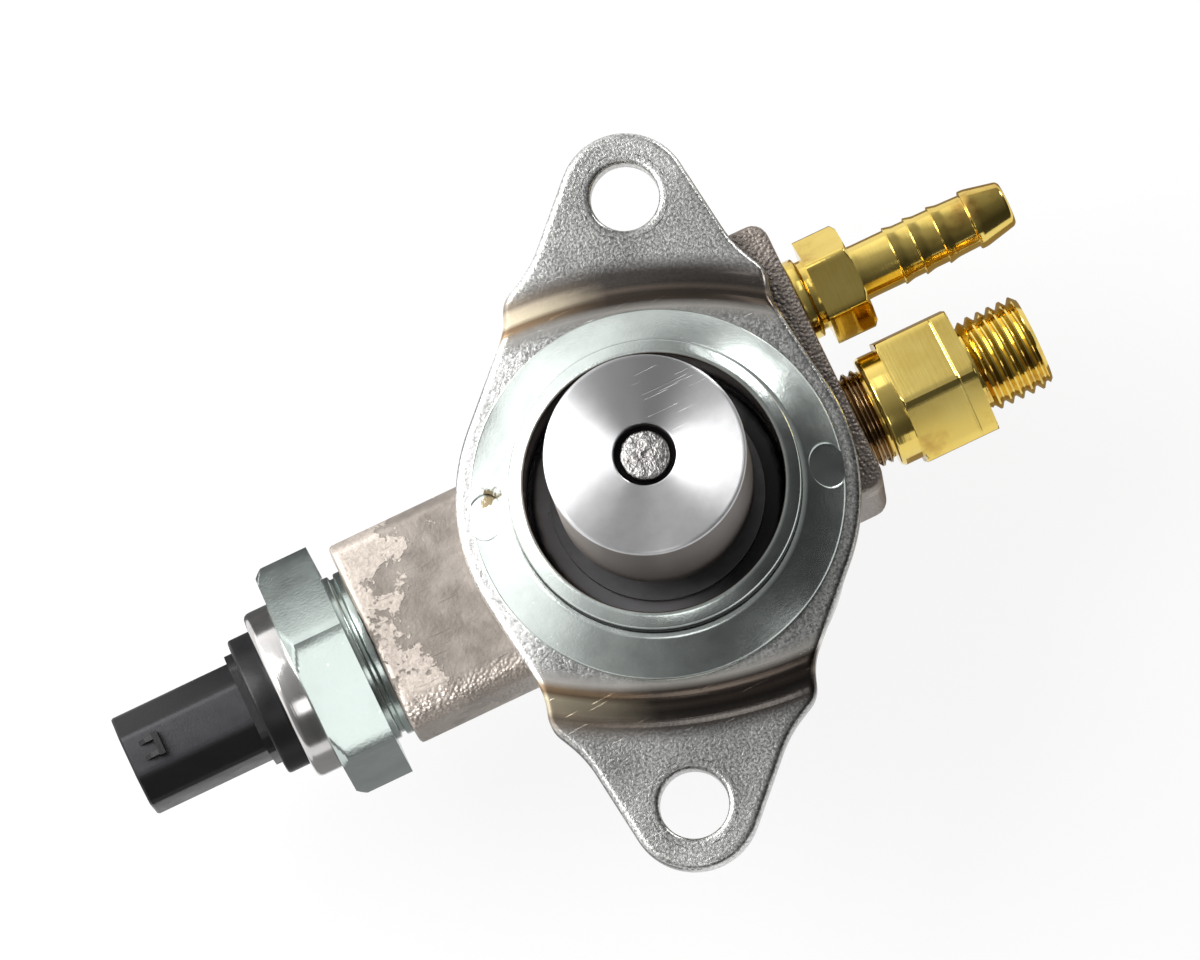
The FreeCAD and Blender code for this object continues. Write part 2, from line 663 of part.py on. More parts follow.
# Solenoid: housing with neck and hex, sleeve, core, bobbin, winding and closing ring.
housing_turned = turned("housing_turned", [
    ("0", "arm_bore_end + seal_room"), ("spigot_rad - 0.8", "arm_bore_end + seal_room"),
    ("spigot_rad", "arm_bore_end + seal_room + 0.8"), ("spigot_rad", "arm_end"), ("neck_rad", "arm_end"),
    ("neck_rad", "neck_mid"), ("neck_groove", "neck_mid"), ("neck_groove", "neck_land"),
    ("neck_rad", "neck_land"), ("neck_rad", "hex_near + 0.1"), ("0", "hex_near + 0.1")], ALONG_ARM, PORT)
housing_hex = hexagon("housing_hex", "hex_flats", "hex_near", "hex_far", "hex_bevel", False,
                      ALONG_ARM, PORT, "hex_turn")
NODES["solenoid_housing"] = cut(
    "housing", fuse("housing_blank", housing_turned, housing_hex),
    drill("tube_bore", "tube_rad + fit_gap", "arm_bore_end - 1", "can_near", ALONG_ARM, PORT),
    drill("can_bore", "can_rad", "can_near", "hex_far + 1", ALONG_ARM, PORT))
NODES["armature_sleeve"] = turned("tube", [
    ("armature_rad + slide_gap", "arm_bore_end + seal_room"), ("tube_rad", "arm_bore_end + seal_room"),
    ("tube_rad", "can_near"), ("armature_rad + slide_gap", "can_near")], ALONG_ARM, PORT)
NODES["solenoid_core"] = cut(
    "core", drill("core_bar", "armature_rad", "core_near", "core_far", ALONG_ARM, PORT),
    drill("core_hole", "core_bore", "core_near - 1", "core_bore_end", ALONG_ARM, PORT))
NODES["coil_bobbin"] = turned("bobbin", [
    ("armature_rad + fit_gap", "bobbin_near"), ("bobbin_rad", "bobbin_near"),
    ("bobbin_rad", "bobbin_near + bobbin_wall"),
    ("armature_rad + fit_gap + bobbin_wall", "bobbin_near + bobbin_wall"),
    ("armature_rad + fit_gap + bobbin_wall", "bobbin_far - bobbin_wall"),
    ("bobbin_rad", "bobbin_far - bobbin_wall"), ("bobbin_rad", "bobbin_far"),
    ("armature_rad + fit_gap", "bobbin_far")], ALONG_ARM, PORT)
NODES["coil_winding"] = turned("winding", [
    ("armature_rad + fit_gap + bobbin_wall", "bobbin_near + bobbin_wall"),
    ("coil_rad", "bobbin_near + bobbin_wall"), ("coil_rad", "bobbin_far - bobbin_wall"),
    ("armature_rad + fit_gap + bobbin_wall", "bobbin_far - bobbin_wall")], ALONG_ARM, PORT)
NODES["solenoid_cap_ring"] = turned("cap_ring", [
    ("can_rad - 0.3", "hex_far"), ("cap_rad - 0.25", "hex_far"), ("cap_rad", "hex_far + 0.25"),
    ("cap_rad", "cap_far - cap_round"), ("cap_rad - cap_round * 0.3", "cap_far - cap_round * 0.3"),
    ("cap_rad - cap_round", "cap_far"), ("0", "cap_far"), ("0", "core_far"),
    ("can_rad - 0.3", "core_far")], ALONG_ARM, PORT)
NODES["housing_seal"] = ring("housing_ring", "spigot_rad - seal_wire - 0.1", "seal_wire",
                             ALONG_ARM, ("-arm_bore_end - seal_wire - 0.02", "0", "port_drop"))

# Connector: disc, collar and keyed shell with an open socket and two blades.
disc = turned("connector_disc", [
    ("0", "cap_far"), ("disc_rad", "cap_far"), ("disc_rad", "disc_far - 0.3"),
    ("disc_rad - 0.3", "disc_far"), ("0", "disc_far")], ALONG_ARM, PORT)


def shell_section(inset):
    """Corners of the shell as (height, side): a flat ridge between sloping shoulders."""
    shift = " - " + inset if inset else ""
    side = "(shell_half%s)" % shift
    flat = "(shell_flat%s)" % (shift + " * 0.6" if inset else "")
    high = "(shell_high%s)" % shift
    low = "(shell_low%s)" % shift
    return [(high, flat), ("%s - shell_slope" % high, side), ("-%s + 1" % low, side),
            ("-%s" % low, "%s - 1" % side), ("-%s" % low, "1 - %s" % side),
            ("-%s + 1" % low, "-%s" % side), ("%s - shell_slope" % high, "-%s" % side),
            (high, "-%s" % flat)]


def along_arm(name, points, start, end):
    return prism(name, "XY_Plane", points, "%s - (%s)" % (end, start), ALONG_ARM,
                 ("-(%s)" % start, "0", "port_drop"))


collar_box = along_arm("connector_collar", [
    ("collar_half", "-collar_half"), ("collar_half", "collar_half"), ("-collar_half + 0.6", "collar_half"),
    ("-collar_half + 0.6", "-collar_half")], "disc_far - 0.2", "collar_far")
collar_round = drill("connector_round", "collar_half + 0.6", "disc_far - 0.3", "collar_far", ALONG_ARM, PORT)
shell = along_arm("connector_shell", shell_section(""), "collar_far - 0.2", "shell_far")
socket = along_arm("connector_socket", shell_section("shell_wall"), "socket_floor", "shell_far + 1")
latch = prism("latch", "XZ_Plane", [
    ("-latch_near", "port_drop + shell_high - 0.2"), ("-latch_near", "port_drop + shell_high + latch_high"),
    ("-latch_far", "port_drop + shell_high + 0.1"), ("-latch_far", "port_drop + shell_high - 0.2")],
    "2 * latch_half", middle=True)
blades = []
slots = []
for label, sign in (("left", ""), ("right", "-")):
    for group, kind, gap in ((blades, "blade", ""), (slots, "slot", " + 0.01")):
        thick = "(blade_thick%s)" % gap
        half = "(blade_half%s)" % gap
        group.append(prism("%s_%s" % (kind, label), "XY_Plane", [
            (thick, half), ("-" + thick, half), ("-" + thick, "-" + half), (thick, "-" + half)],
            "blade_far - blade_near" + gap, ALONG_ARM,
            ("-blade_near" + gap, sign + "blade_pitch", "port_drop")))
NODES["connector_body"] = cut(
    "plug", fuse("plug_blank", disc, common("connector_neck", collar_box, collar_round), shell, latch),
    socket, *slots)
NODES["connector_terminals"] = doc.addObject("Part::Compound", "blades")
NODES["connector_terminals"].Links = blades

# Outlet: brass union with the check valve inside.
union_turned = turned("union_turned", [
    ("0", "outlet_seat_far"), ("outlet_root - 0.4", "outlet_seat_far"),
    ("outlet_root", "outlet_seat_far + 0.4"), ("outlet_root", "outlet_collar_near"),
    ("outlet_collar_rad - 0.4", "outlet_collar_near"), ("outlet_collar_rad", "outlet_collar_near + 0.4"),
    ("outlet_collar_rad", OUTLET_HEX + " + 0.1"), ("outlet_neck", OUTLET_HEX + " + 0.1"),
    ("outlet_neck", OUTLET_THREAD), ("outlet_thread_rad", OUTLET_THREAD + " + 0.8"),
    ("outlet_thread_rad", OUTLET_END + " - outlet_bevel"),
    ("outlet_thread_rad - outlet_bevel", OUTLET_END), ("0", OUTLET_END)], ALONG_OUTLET, PORT)
union_hex = hexagon("union_hex", "outlet_flats", OUTLET_HEX, OUTLET_HEX_END, "0.35", True,
                    ALONG_OUTLET, PORT, "outlet_hex_turn")
cavity = turned("union_cavity", [
    ("0", "outlet_seat_far - 1"), ("outlet_ball + ball_gap", "outlet_seat_far - 1"),
    ("outlet_ball + ball_gap", "outlet_cavity_end"), ("outlet_bore", "outlet_cavity_end"),
    ("outlet_bore", OUTLET_END + " - outlet_cone + outlet_bore"), ("outlet_cone", OUTLET_END),
    ("outlet_cone", OUTLET_END + " + 1"), ("0", OUTLET_END + " + 1")], ALONG_OUTLET, PORT)
NODES["outlet_fitting"] = cut(
    "union", fuse("union_blank", union_turned, union_hex), cavity,
    drill("union_link", "relief_drill", "2 * port_drop", "port_drop", base=(RELIEF_SIDE, "0", "0")))
NODES["outlet_valve_seat"] = turned("outlet_seat", [
    ("outlet_seat_bore", "outlet_seat_near"), ("outlet_root", "outlet_seat_near"),
    ("outlet_root", "outlet_seat_far"), ("outlet_seat_bore", "outlet_seat_far")], ALONG_OUTLET, PORT)
SEAT_RISE = "sqrt(outlet_ball * outlet_ball - outlet_seat_bore * outlet_seat_bore) + 0.02"
NODES["outlet_valve_ball"] = ball("outlet_check", "outlet_ball",
                                  ("outlet_seat_far + " + SEAT_RISE, "0", "port_drop"))
BALL_BACK = "(outlet_seat_far + %s + outlet_ball)" % SEAT_RISE
NODES["outlet_valve_spring"] = spring(
    "outlet_coil", "outlet_coil_mean", "outlet_coil_wire",
    "(outlet_cavity_end - %s - valve_travel)" % BALL_BACK, "outlet_coil_turns", ALONG_OUTLET,
    (BALL_BACK + " + outlet_coil_wire - 0.42", "0", "port_drop"))

# Inlet: brass hose barb with a strainer in its foot.
barb = [("0", "inlet_near"), ("inlet_spigot - 0.4", "inlet_near"), ("inlet_spigot", "inlet_near + 0.4"),
        ("inlet_spigot", "block_end"), ("inlet_neck", "block_end"), ("inlet_neck", INLET_HEX + " + 0.1"),
        ("pipe_rad", INLET_HEX + " + 0.1")]
for rib in (FIRST_RIB, SECOND_RIB, THIRD_RIB):
    barb += [("pipe_rad", rib), ("rib_rad", rib), ("pipe_rad", rib + " + rib_slope")]
barb += [("pipe_rad", BARB), ("barb_rad", BARB), ("barb_rad", BARB + " + barb_land"),
         ("barb_tip", BARB_END + " - 0.4"), ("barb_tip - 0.4", BARB_END), ("0", BARB_END)]
barb_turned = turned("barb_turned", barb, ALONG_OUTLET, INLET)
barb_hex = hexagon("barb_hex", "inlet_flats", INLET_HEX, INLET_HEX_END, "inlet_bevel", False,
                   ALONG_OUTLET, INLET, "inlet_hex_turn")
NODES["inlet_fitting"] = cut(
    "hose_barb", fuse("barb_blank", barb_turned, barb_hex),
    drill("barb_bore", "pipe_bore", "inlet_near - 1", BARB_END + " + 1", ALONG_OUTLET, INLET),
    drill("strainer_bore", "strainer_rad + fit_gap", "inlet_near - 1", "strainer_end", ALONG_OUTLET, INLET))
NODES["inlet_strainer"] = turned("strainer", [
    ("strainer_rad - 0.9", "inlet_near"), ("strainer_rad", "inlet_near"), ("strainer_rad", "strainer_end"),
    ("strainer_rad - 0.8", "strainer_end"), ("strainer_rad - 0.8", "strainer_end - 0.6"),
    ("strainer_rad - strainer_wall", "strainer_end - 0.6"),
    ("strainer_rad - strainer_wall", "inlet_near + 0.5"), ("strainer_rad - 0.9", "inlet_near + 0.5")],
    ALONG_OUTLET, INLET)

# Relief valve in the floor of the body, opening into the damper room.
AT_RELIEF = (RELIEF_SIDE, "0", "0")
NODES["relief_valve_seat"] = turned("relief_seat_ring", [
    ("relief_seat_bore", "relief_top - relief_seat"), ("relief_bore - fit_gap", "relief_top - relief_seat"),
    ("relief_bore - fit_gap", "relief_top"), ("relief_seat_bore", "relief_top")], base=AT_RELIEF)
RELIEF_RISE = "sqrt(relief_ball * relief_ball - relief_seat_bore * relief_seat_bore) + 0.02"
NODES["relief_valve_ball"] = ball("relief_check", "relief_ball",
                                  (RELIEF_SIDE, "0", "relief_top - relief_seat - (%s)" % RELIEF_RISE))
PLUG_TOP = "(drum_low + relief_plug)"
NODES["relief_plug"] = turned("relief_plug_ring", [
    ("relief_plug_bore", "drum_low"), ("relief_bore - fit_gap", "drum_low"),
    ("relief_bore - fit_gap", PLUG_TOP), ("relief_plug_bore", PLUG_TOP)], base=AT_RELIEF)
NODES["relief_valve_spring"] = spring(
    "relief_coil", "relief_coil_mean", "relief_coil_wire",
    "(relief_top - relief_seat - (%s) - relief_ball - %s + 0.45)" % (RELIEF_RISE, PLUG_TOP),
    "relief_coil_turns", base=(RELIEF_SIDE, "0", PLUG_TOP + " + relief_coil_wire"))

# Damper: drawn cover welded round the foot of the body, capsule of two diaphragms and its supports.
NODES["damper_cover"] = turned("cover", [
    ("0", "cover_low + cover_wall"), ("cover_rad - cover_round", "cover_low + cover_wall"),
    ("cover_rad - cover_wall - cover_round * 0.3", "cover_low + cover_round * 0.45"),
    ("cover_rad - cover_wall", "cover_low + cover_round"), ("cover_rad - cover_wall", "drum_foot_top"),
    ("cover_rad", "drum_foot_top"), ("cover_rad", "cover_low + cover_round"),
    ("cover_rad - cover_round * 0.293", "cover_low + cover_round * 0.293"),
    ("cover_rad - cover_round", "cover_low"), ("0", "cover_low")])


def diaphragm(name, side):
    rise = "%s capsule_rise" % side
    skin = "%s capsule_skin" % side
    points = [("0", "%s - %s" % (rise, "(%s)" % skin)), (CAPSULE_FLAT, "%s - %s" % (rise, "(%s)" % skin)),
              (CAPSULE_EDGE, "0"), (CAPSULE, "0"), (CAPSULE, skin), (CAPSULE_EDGE, skin),
              (CAPSULE_FLAT, rise), ("0", rise)]
    return turned(name, points, base=("0", "0", "capsule_mid"))


NODES["damper_diaphragm_upper"] = diaphragm("capsule_upper", "0 +")
NODES["damper_diaphragm_lower"] = diaphragm("capsule_lower", "0 -")


def support(name, near, far):
    """Sheet ring that grips the capsule's rim, with four windows for the fuel."""
    span = "(%s - %s)" % (far, near)
    foot = near + " + %s * 0.3" % span
    sill = near + " + %s * 0.42" % span
    lintel = near + " + %s * 0.82" % span
    blank = turned(name + "_blank", [
        (CAPSULE_EDGE, near), (SUPPORT, near), (SUPPORT, far),
        (SUPPORT + " - support_wall", far), (SUPPORT + " - support_wall", foot), (CAPSULE_EDGE, foot)])
    windows = []
    for index in range(2):
        windows.append(prism("%s_window_%d" % (name, index), "XZ_Plane", [
            ("-3", sill), ("3", sill), ("3", lintel), ("-3", lintel)],
            "60", FreeCAD.Rotation(UP, 45 + 90 * index), middle=True))
    return cut(name, blank, *windows)


NODES["damper_support_upper"] = support("support_upper", "capsule_mid + capsule_skin", "drum_low")
NODES["damper_support_lower"] = support("support_lower", "capsule_mid - capsule_skin", "support_low")

doc.recompute()
faults = []
for item in doc.Objects:
    if "Invalid" in item.State or "Error" in item.State:
        faults.append(item.Name)
for name, item in NODES.items():
    item.Label = name
    shape = item.Shape
    if shape.isNull() or not shape.isValid():
        faults.append(name)
if faults:
    raise RuntimeError("objects with faults: " + ", ".join(faults))
for name, item in NODES.items():
    item.Shape.exportStep("parts/%s.step" % name)
    box = item.Shape.BoundBox
    print("%-24s solids %d  volume %9.1f  x %.1f..%.1f y %.1f..%.1f z %.1f..%.1f" % (
        name, len(item.Shape.Solids), item.Shape.Volume, box.XMin, box.XMax, box.YMin, box.YMax,
        box.ZMin, box.ZMax))
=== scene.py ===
# %% [markdown]
# High pressure fuel pump, seen from the cam side.
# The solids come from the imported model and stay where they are. This file
# gives the pieces that the eye rests on a finer surface: rolled sheet edges,
# a cut thread, turned faces, cast skin and moulded plastic. Each cell says
# what the real piece is, how it could be made here, and why it is made so.

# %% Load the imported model
import json
import math

import bmesh
import bpy
from mathutils import Matrix, Vector
from mathutils.geometry import delaunay_2d_cdt

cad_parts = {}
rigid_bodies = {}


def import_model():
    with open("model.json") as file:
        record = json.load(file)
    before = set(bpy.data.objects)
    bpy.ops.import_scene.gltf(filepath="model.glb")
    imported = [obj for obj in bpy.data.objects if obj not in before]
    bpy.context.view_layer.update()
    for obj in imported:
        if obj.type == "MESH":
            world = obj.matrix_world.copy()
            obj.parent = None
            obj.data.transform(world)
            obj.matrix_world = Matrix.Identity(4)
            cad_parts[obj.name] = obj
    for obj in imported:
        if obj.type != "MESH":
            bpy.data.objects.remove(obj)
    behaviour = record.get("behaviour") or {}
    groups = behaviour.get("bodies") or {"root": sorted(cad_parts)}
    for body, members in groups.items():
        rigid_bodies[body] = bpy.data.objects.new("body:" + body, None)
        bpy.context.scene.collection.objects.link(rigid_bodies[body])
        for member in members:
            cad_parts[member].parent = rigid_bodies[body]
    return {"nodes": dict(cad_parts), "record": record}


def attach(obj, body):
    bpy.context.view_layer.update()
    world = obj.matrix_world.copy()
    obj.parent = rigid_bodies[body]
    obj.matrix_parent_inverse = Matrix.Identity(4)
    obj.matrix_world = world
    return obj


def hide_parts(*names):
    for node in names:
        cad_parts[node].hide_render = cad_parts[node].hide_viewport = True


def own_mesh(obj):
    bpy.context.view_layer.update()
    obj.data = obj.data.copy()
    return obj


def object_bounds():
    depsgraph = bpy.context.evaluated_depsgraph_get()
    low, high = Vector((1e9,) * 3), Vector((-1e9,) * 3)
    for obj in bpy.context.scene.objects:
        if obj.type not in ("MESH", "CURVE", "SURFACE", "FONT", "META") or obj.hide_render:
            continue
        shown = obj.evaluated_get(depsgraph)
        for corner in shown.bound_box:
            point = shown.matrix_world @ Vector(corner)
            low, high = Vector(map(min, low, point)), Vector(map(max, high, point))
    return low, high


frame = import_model()
CAD_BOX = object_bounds()
MM = 0.001
print("nodes", len(frame["nodes"]), "box", CAD_BOX)

# %% [markdown]
# The three working lines of the pump: the plunger's axis, the solenoid arm
# and the two ports. A turned piece is drawn as a half section, height along
# its axis and radius off it, so one helper has to know how to lay a section
# on each of these lines. Writing the lines down once keeps every turned
# piece on its own axis, where the solids have it.

# %% Axes of the turned pieces
PORT_Z = -11.8
INLET_Y = 16.8


def on_pump(radius, turn, height):
    return Vector((radius * math.cos(turn), radius * math.sin(turn), height)) * MM


def on_arm(radius, turn, height):
    return Vector((-height, radius * math.sin(turn), PORT_Z + radius * math.cos(turn))) * MM


def on_outlet(radius, turn, height):
    return Vector((height, -radius * math.sin(turn), PORT_Z + radius * math.cos(turn))) * MM


def on_inlet(radius, turn, height):
    return on_outlet(radius, turn, height) + Vector((0, INLET_Y * MM, 0))


# %% [markdown]
# Most forms here are rows of points with the same number in each row, so one
# helper joins neighbouring rows with quads, and another puts a mesh on stage.

# %% Rows of points
def grid_faces(rows, count, first=0, closed=True, wrapped=False):
    faces = []
    for row in range(rows if wrapped else rows - 1):
        below = first + row * count
        above = first + (row + 1) % rows * count
        for index in range(count if closed else count - 1):
            after = (index + 1) % count
            faces.append((below + index, below + after, above + after, above + index))
    return faces


def on_stage(name, data):
    item = bpy.data.objects.new(name, data)
    bpy.context.scene.collection.objects.link(item)
    return item


def clean(mesh, gap):
    """Merge doubled points and make the normals agree."""
    work = bmesh.new()
    work.from_mesh(mesh)
    bmesh.ops.remove_doubles(work, verts=work.verts, dist=gap)
    bmesh.ops.recalc_face_normals(work, faces=work.faces)
    work.to_mesh(mesh)
    work.free()


# %% [markdown]
# A piece made in code is a list of points and a list of faces. Normals are
# made to agree, faces are shaded smooth, and edges sharper than an angle
# stay crisp, which is how a machined edge reads. One helper does this for
# every piece, hangs it on its body and hides the solid it stands for.

# %% Make a piece and hang it on its body
def piece(name, verts, faces, body, node, crease=32):
    mesh = bpy.data.meshes.new(name)
    mesh.from_pydata([tuple(v) for v in verts], [], faces)
    clean(mesh, 1e-7)
    mesh.shade_smooth()
    mesh.set_sharp_from_angle(angle=math.radians(crease))
    item = on_stage(name, mesh)
    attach(item, body)
    if node:
        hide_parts(node)
    print(name, len(mesh.polygons), "faces")
    return item


# %% [markdown]
# No turned edge is perfectly sharp: a lathe tool or a tumbling drum leaves a
# small radius, and that radius is what catches the light. The half section
# is therefore drawn with its corner radii beside its corners, and each
# corner is swapped for a short arc before the section is spun.

# %% Round the corners of a section
def rounded(section, closed, steps=4):
    points = []
    count = len(section)
    for index, corner in enumerate(section):
        here = Vector(corner[:2])
        size = corner[2] if len(corner) > 2 else 0
        if size <= 0 or (not closed and index in (0, count - 1)):
            points.append(here)
            continue
        before = Vector(section[index - 1][:2]) - here
        after = Vector(section[(index + 1) % count][:2]) - here
        reach = min(size, before.length * 0.48, after.length * 0.48)
        first = here + before.normalized() * reach
        last = here + after.normalized() * reach
        for step in range(steps + 1):
            way = step / steps
            points.append(first * (1 - way) ** 2 + here * 2 * way * (1 - way) + last * way ** 2)
    return points


def spun(section, axis, closed=True, turns=160):
    """Points and faces of a section (radius, height, rounding) spun on an axis."""
    line = rounded(section, closed)
    verts = []
    for turn in range(turns):
        angle = 2 * math.pi * turn / turns
        verts += [axis(point.x, angle, point.y) for point in line]
    return verts, grid_faces(turns, len(line), closed=closed, wrapped=True)


def joined(*parts):
    verts = []
    faces = []
    for some_verts, some_faces in parts:
        start = len(verts)
        verts += list(some_verts)
        faces += [tuple(start + index for index in face) for face in some_faces]
    return verts, faces


# %% [markdown]
# A nut's hexagon has flats that end in curved bevels where a cone has cut
# the corners. It can be had by cutting a prism with a cone, but a cut leaves
# ragged triangles. Here each ring of points asks both shapes how far out
# they reach and takes the nearer one, so the curve of the bevel comes out by
# itself and the faces stay in even rows.

# %% Hexagon with turned bevels
def hexagon(flats, start, end, bevel, axis, turn, both=True, bore=0.0, crown=None, per_side=24):
    corner = flats / math.sqrt(3)
    crown = crown or flats / 2 - 0.15
    lean = (corner - crown) / bevel
    heights = [start + bevel * step / 8 for step in range(9)] if both else [start]
    heights += [end - bevel * step / 8 for step in range(8, -1, -1)]
    turns = per_side * 6
    rows = []
    for height in heights:
        cone = crown + lean * min(height - start if both else 99, end - height)
        row = []
        for step in range(turns):
            angle = 2 * math.pi * step / turns
            side = (angle % (math.pi / 3)) - math.pi / 6
            flat = flats / 2 / math.cos(side)
            easing = 0.12 * max(0.0, abs(side) / (math.pi / 6) - 0.9) * 10
            row.append(axis(min(flat - easing, cone), angle + turn, height))
        rows.append(row)
    caps = []
    for height in (start, end):
        caps.append([axis(max(bore, 0.01), 2 * math.pi * step / turns + turn, height)
                     for step in range(turns)])
    rows = [caps[0]] + rows + [caps[1]]
    if bore:
        rows.append(caps[0])
    verts = [vert for row in rows for vert in row]
    return verts, grid_faces(len(rows), turns)


# %% [markdown]
# A screw thread is one ridge that climbs as it goes round. A grid whose rows
# run straight round would cross the ridge at a slant and break its crest
# into steps. Here the rows climb with the thread, so each one keeps its
# place in the ridge's section, and after one turn it meets the row that lies
# one pitch further on. Both ends run out under a bevel, as a die leaves them.

# %% Screw thread
def thread(crest, root, pitch, start, end, bevel, axis, turns=120, per_pitch=12):
    rows = int((end - start) / pitch * per_pitch) + 2 * per_pitch
    verts = []
    faces = []
    for row in range(rows + 1):
        phase = (row / per_pitch) % 1.0
        ridge = min(1.0, max(0.0, 1.25 - abs(phase - 0.5) * 2 * 1.45))
        for step in range(turns):
            height = start + (row / per_pitch + step / turns - 1) * pitch
            height = min(end, max(start, height))
            limit = crest - max(0.0, bevel - (end - height)) - max(0.0, bevel - (height - start))
            verts.append(axis(min(root + (crest - root) * ridge, limit), 2 * math.pi * step / turns, height))
    for row in range(rows):
        for step in range(turns):
            here = row * turns + step
            if step < turns - 1:
                faces.append((here, here + 1, here + turns + 1, here + turns))
            elif row + per_pitch < rows:
                there = (row + per_pitch) * turns
                faces.append((here, there, there + turns, here + turns))
    return verts, faces


# %% [markdown]
# The mounting plate is pressed from thick sheet. The punch drags the metal
# over at every cut edge, and the press steps both ears down with a soft bow
# in each bend. A plain box with bevels has neither, so the plate is drawn as
# its outline, filled with rows of points that follow the bends, and each
# point is lifted to the height of the pressing. Rings just inside each cut
# edge carry the rolled rim.

# %% Outline of the plate
PLATE_THICK = 3.0
EAR_DROP = 2.2
PLATE_RADIUS = 24.5
TIP_RADIUS = 8.0
TIP_REACH = 37.5
EAR_TURN = math.radians(71.2)
BOW_BACK = 29.0
BEND_START = 23.5
BEND_END = 28.5
WING = [(22.4, 16.3), (26.3, 16.3), (30.2, 12.42)]
PLATE_BORE = 15.75
BOLT_RADIUS = 4.2
PLATE_EDGE = 0.75
BOLT_ROLL = 0.6
RIM_FLAT = 0.6


def plate_outline():
    lean = math.acos((PLATE_RADIUS - TIP_RADIUS) / TIP_REACH)
    quarter = []
    for step in range(21):
        angle = math.pi / 2 + (lean - math.pi / 2) * step / 20
        quarter.append((PLATE_RADIUS * math.cos(angle), PLATE_RADIUS * math.sin(angle), 0))
    quarter += [WING[0] + (2.5,), WING[1] + (1.6,), WING[2] + (2.5,)]
    for step in range(17):
        angle = lean * (1 - step / 16)
        quarter.append((TIP_REACH + TIP_RADIUS * math.cos(angle), TIP_RADIUS * math.sin(angle), 0))
    lower = [(x, -y, size) for x, y, size in reversed(quarter)][1:]
    half = quarter + lower
    other = [(-x, -y, size) for x, y, size in half]
    line = rounded(half[:-1] + other[:-1], True, 6)
    dense = []
    for index, point in enumerate(line):
        after = line[(index + 1) % len(line)]
        pieces = max(1, int((after - point).length / 0.7))
        for step in range(pieces):
            dense.append(point.lerp(after, step / pieces))
    return dense


def inset(line, distance):
    moved = []
    count = len(line)
    for index in range(count):
        way = (line[(index + 1) % count] - line[index - 1]).normalized()
        moved.append(line[index] + Vector((way.y, -way.x)) * distance)
    return moved


def ring_line(x, y, radius, steps):
    angles = [2 * math.pi * step / steps for step in range(steps)]
    return [Vector((x + radius * math.cos(angle), y + radius * math.sin(angle))) for angle in angles]


def plate_height(point):
    reach = math.hypot(abs(point.x) + BOW_BACK, point.y) - BOW_BACK
    way = min(1.0, max(0.0, (reach - BEND_START) / (BEND_END - BEND_START)))
    return EAR_DROP * (0.5 + 0.5 * math.cos(math.pi * way))


# %% [markdown]
# Every edge, outer and holes, gets the same rows: chamfer, wall, rolled rim
# and a flat step inwards. The faces between them are filled with rows of
# points that follow the arc of the bends, kept clear of the rims.

# %% Press the plate
def pressed_plate():
    edges = [(plate_outline(), PLATE_EDGE)]
    edges.append((ring_line(0, 0, PLATE_BORE, 150), 0.3))
    edges.append((ring_line(TIP_REACH, 0, BOLT_RADIUS, 72), BOLT_ROLL))
    edges.append((ring_line(-TIP_REACH, 0, BOLT_RADIUS, 72), BOLT_ROLL))
    verts = []
    faces = []
    fill = []
    fill_edges = []
    for line, roll in edges:
        rows = [(0.3, -PLATE_THICK), (0.0, 0.3 - PLATE_THICK), (0.0, -PLATE_THICK * 0.6)]
        for step in range(6):
            angle = math.pi / 2 * step / 5
            rows.append((roll * (1 - math.cos(angle)), roll * (math.sin(angle) - 1)))
        rows += [(roll + RIM_FLAT / 2, 0), (roll + RIM_FLAT, 0)]
        first = len(verts)
        count = len(line)
        for depth, drop in rows:
            verts += [(point.x, point.y, plate_height(point) + drop) for point in inset(line, depth)]
        faces += grid_faces(len(rows), count, first)
        start = len(fill)
        fill += [(v[0], v[1]) for v in verts[-count:]]
        fill_edges += [(start + index, start + (index + 1) % count) for index in range(count)]
    rim_line = inset(edges[0][0], PLATE_EDGE + RIM_FLAT)

    def inside(x, y, margin):
        if math.hypot(x, y) < PLATE_BORE + 0.3 + RIM_FLAT + margin:
            return False
        hole = min(math.hypot(x - TIP_REACH, y), math.hypot(x + TIP_REACH, y))
        if hole < BOLT_RADIUS + BOLT_ROLL + RIM_FLAT + margin:
            return False
        crossings = 0
        near = 99.0
        for index, point in enumerate(rim_line):
            after = rim_line[(index + 1) % len(rim_line)]
            near = min(near, math.hypot(point.x - x, point.y - y))
            if (point.y > y) != (after.y > y):
                if x < (after.x - point.x) * (y - point.y) / (after.y - point.y) + point.x:
                    crossings += 1
        return crossings % 2 == 1 and near > margin

    reaches = [k * 1.5 for k in range(0, 15)] + [BEND_START - 0.8 + k * 0.45 for k in range(0, 15)]
    reaches += [BEND_END + 1.8 + k * 1.2 for k in range(0, 14)]
    for reach in reaches:
        for row in range(-22, 23):
            y = row * 1.1
            x = math.sqrt(max(0.0, (reach + BOW_BACK) ** 2 - y * y)) - BOW_BACK
            if x < 0 or not inside(x, y, 0.45):
                continue
            fill.append((x, y))
            if x > 0.3:
                fill.append((-x, y))
    flat, _, triangles, _, _, _ = delaunay_2d_cdt([Vector(p) for p in fill], fill_edges, [], 0, 1e-4)
    kept = []
    for triangle in triangles:
        centre = sum((flat[index] for index in triangle), Vector((0, 0))) / 3
        if inside(centre.x, centre.y, -0.06):
            kept.append(triangle)
    top = len(verts)
    verts += [(p.x, p.y, plate_height(p)) for p in flat]
    faces += [tuple(top + index for index in triangle) for triangle in kept]
    low = len(verts)
    verts += [(p.x, p.y, plate_height(p) - PLATE_THICK) for p in flat]
    faces += [tuple(low + index for index in reversed(triangle)) for triangle in kept]
    turn = Matrix.Rotation(EAR_TURN, 4, "Z")
    placed = [(turn @ Vector(v)) * MM for v in verts]
    return placed, faces


plate_verts, plate_faces = pressed_plate()
plate = piece("pressed_plate", plate_verts, plate_faces, "pump", "mounting_flange", 50)

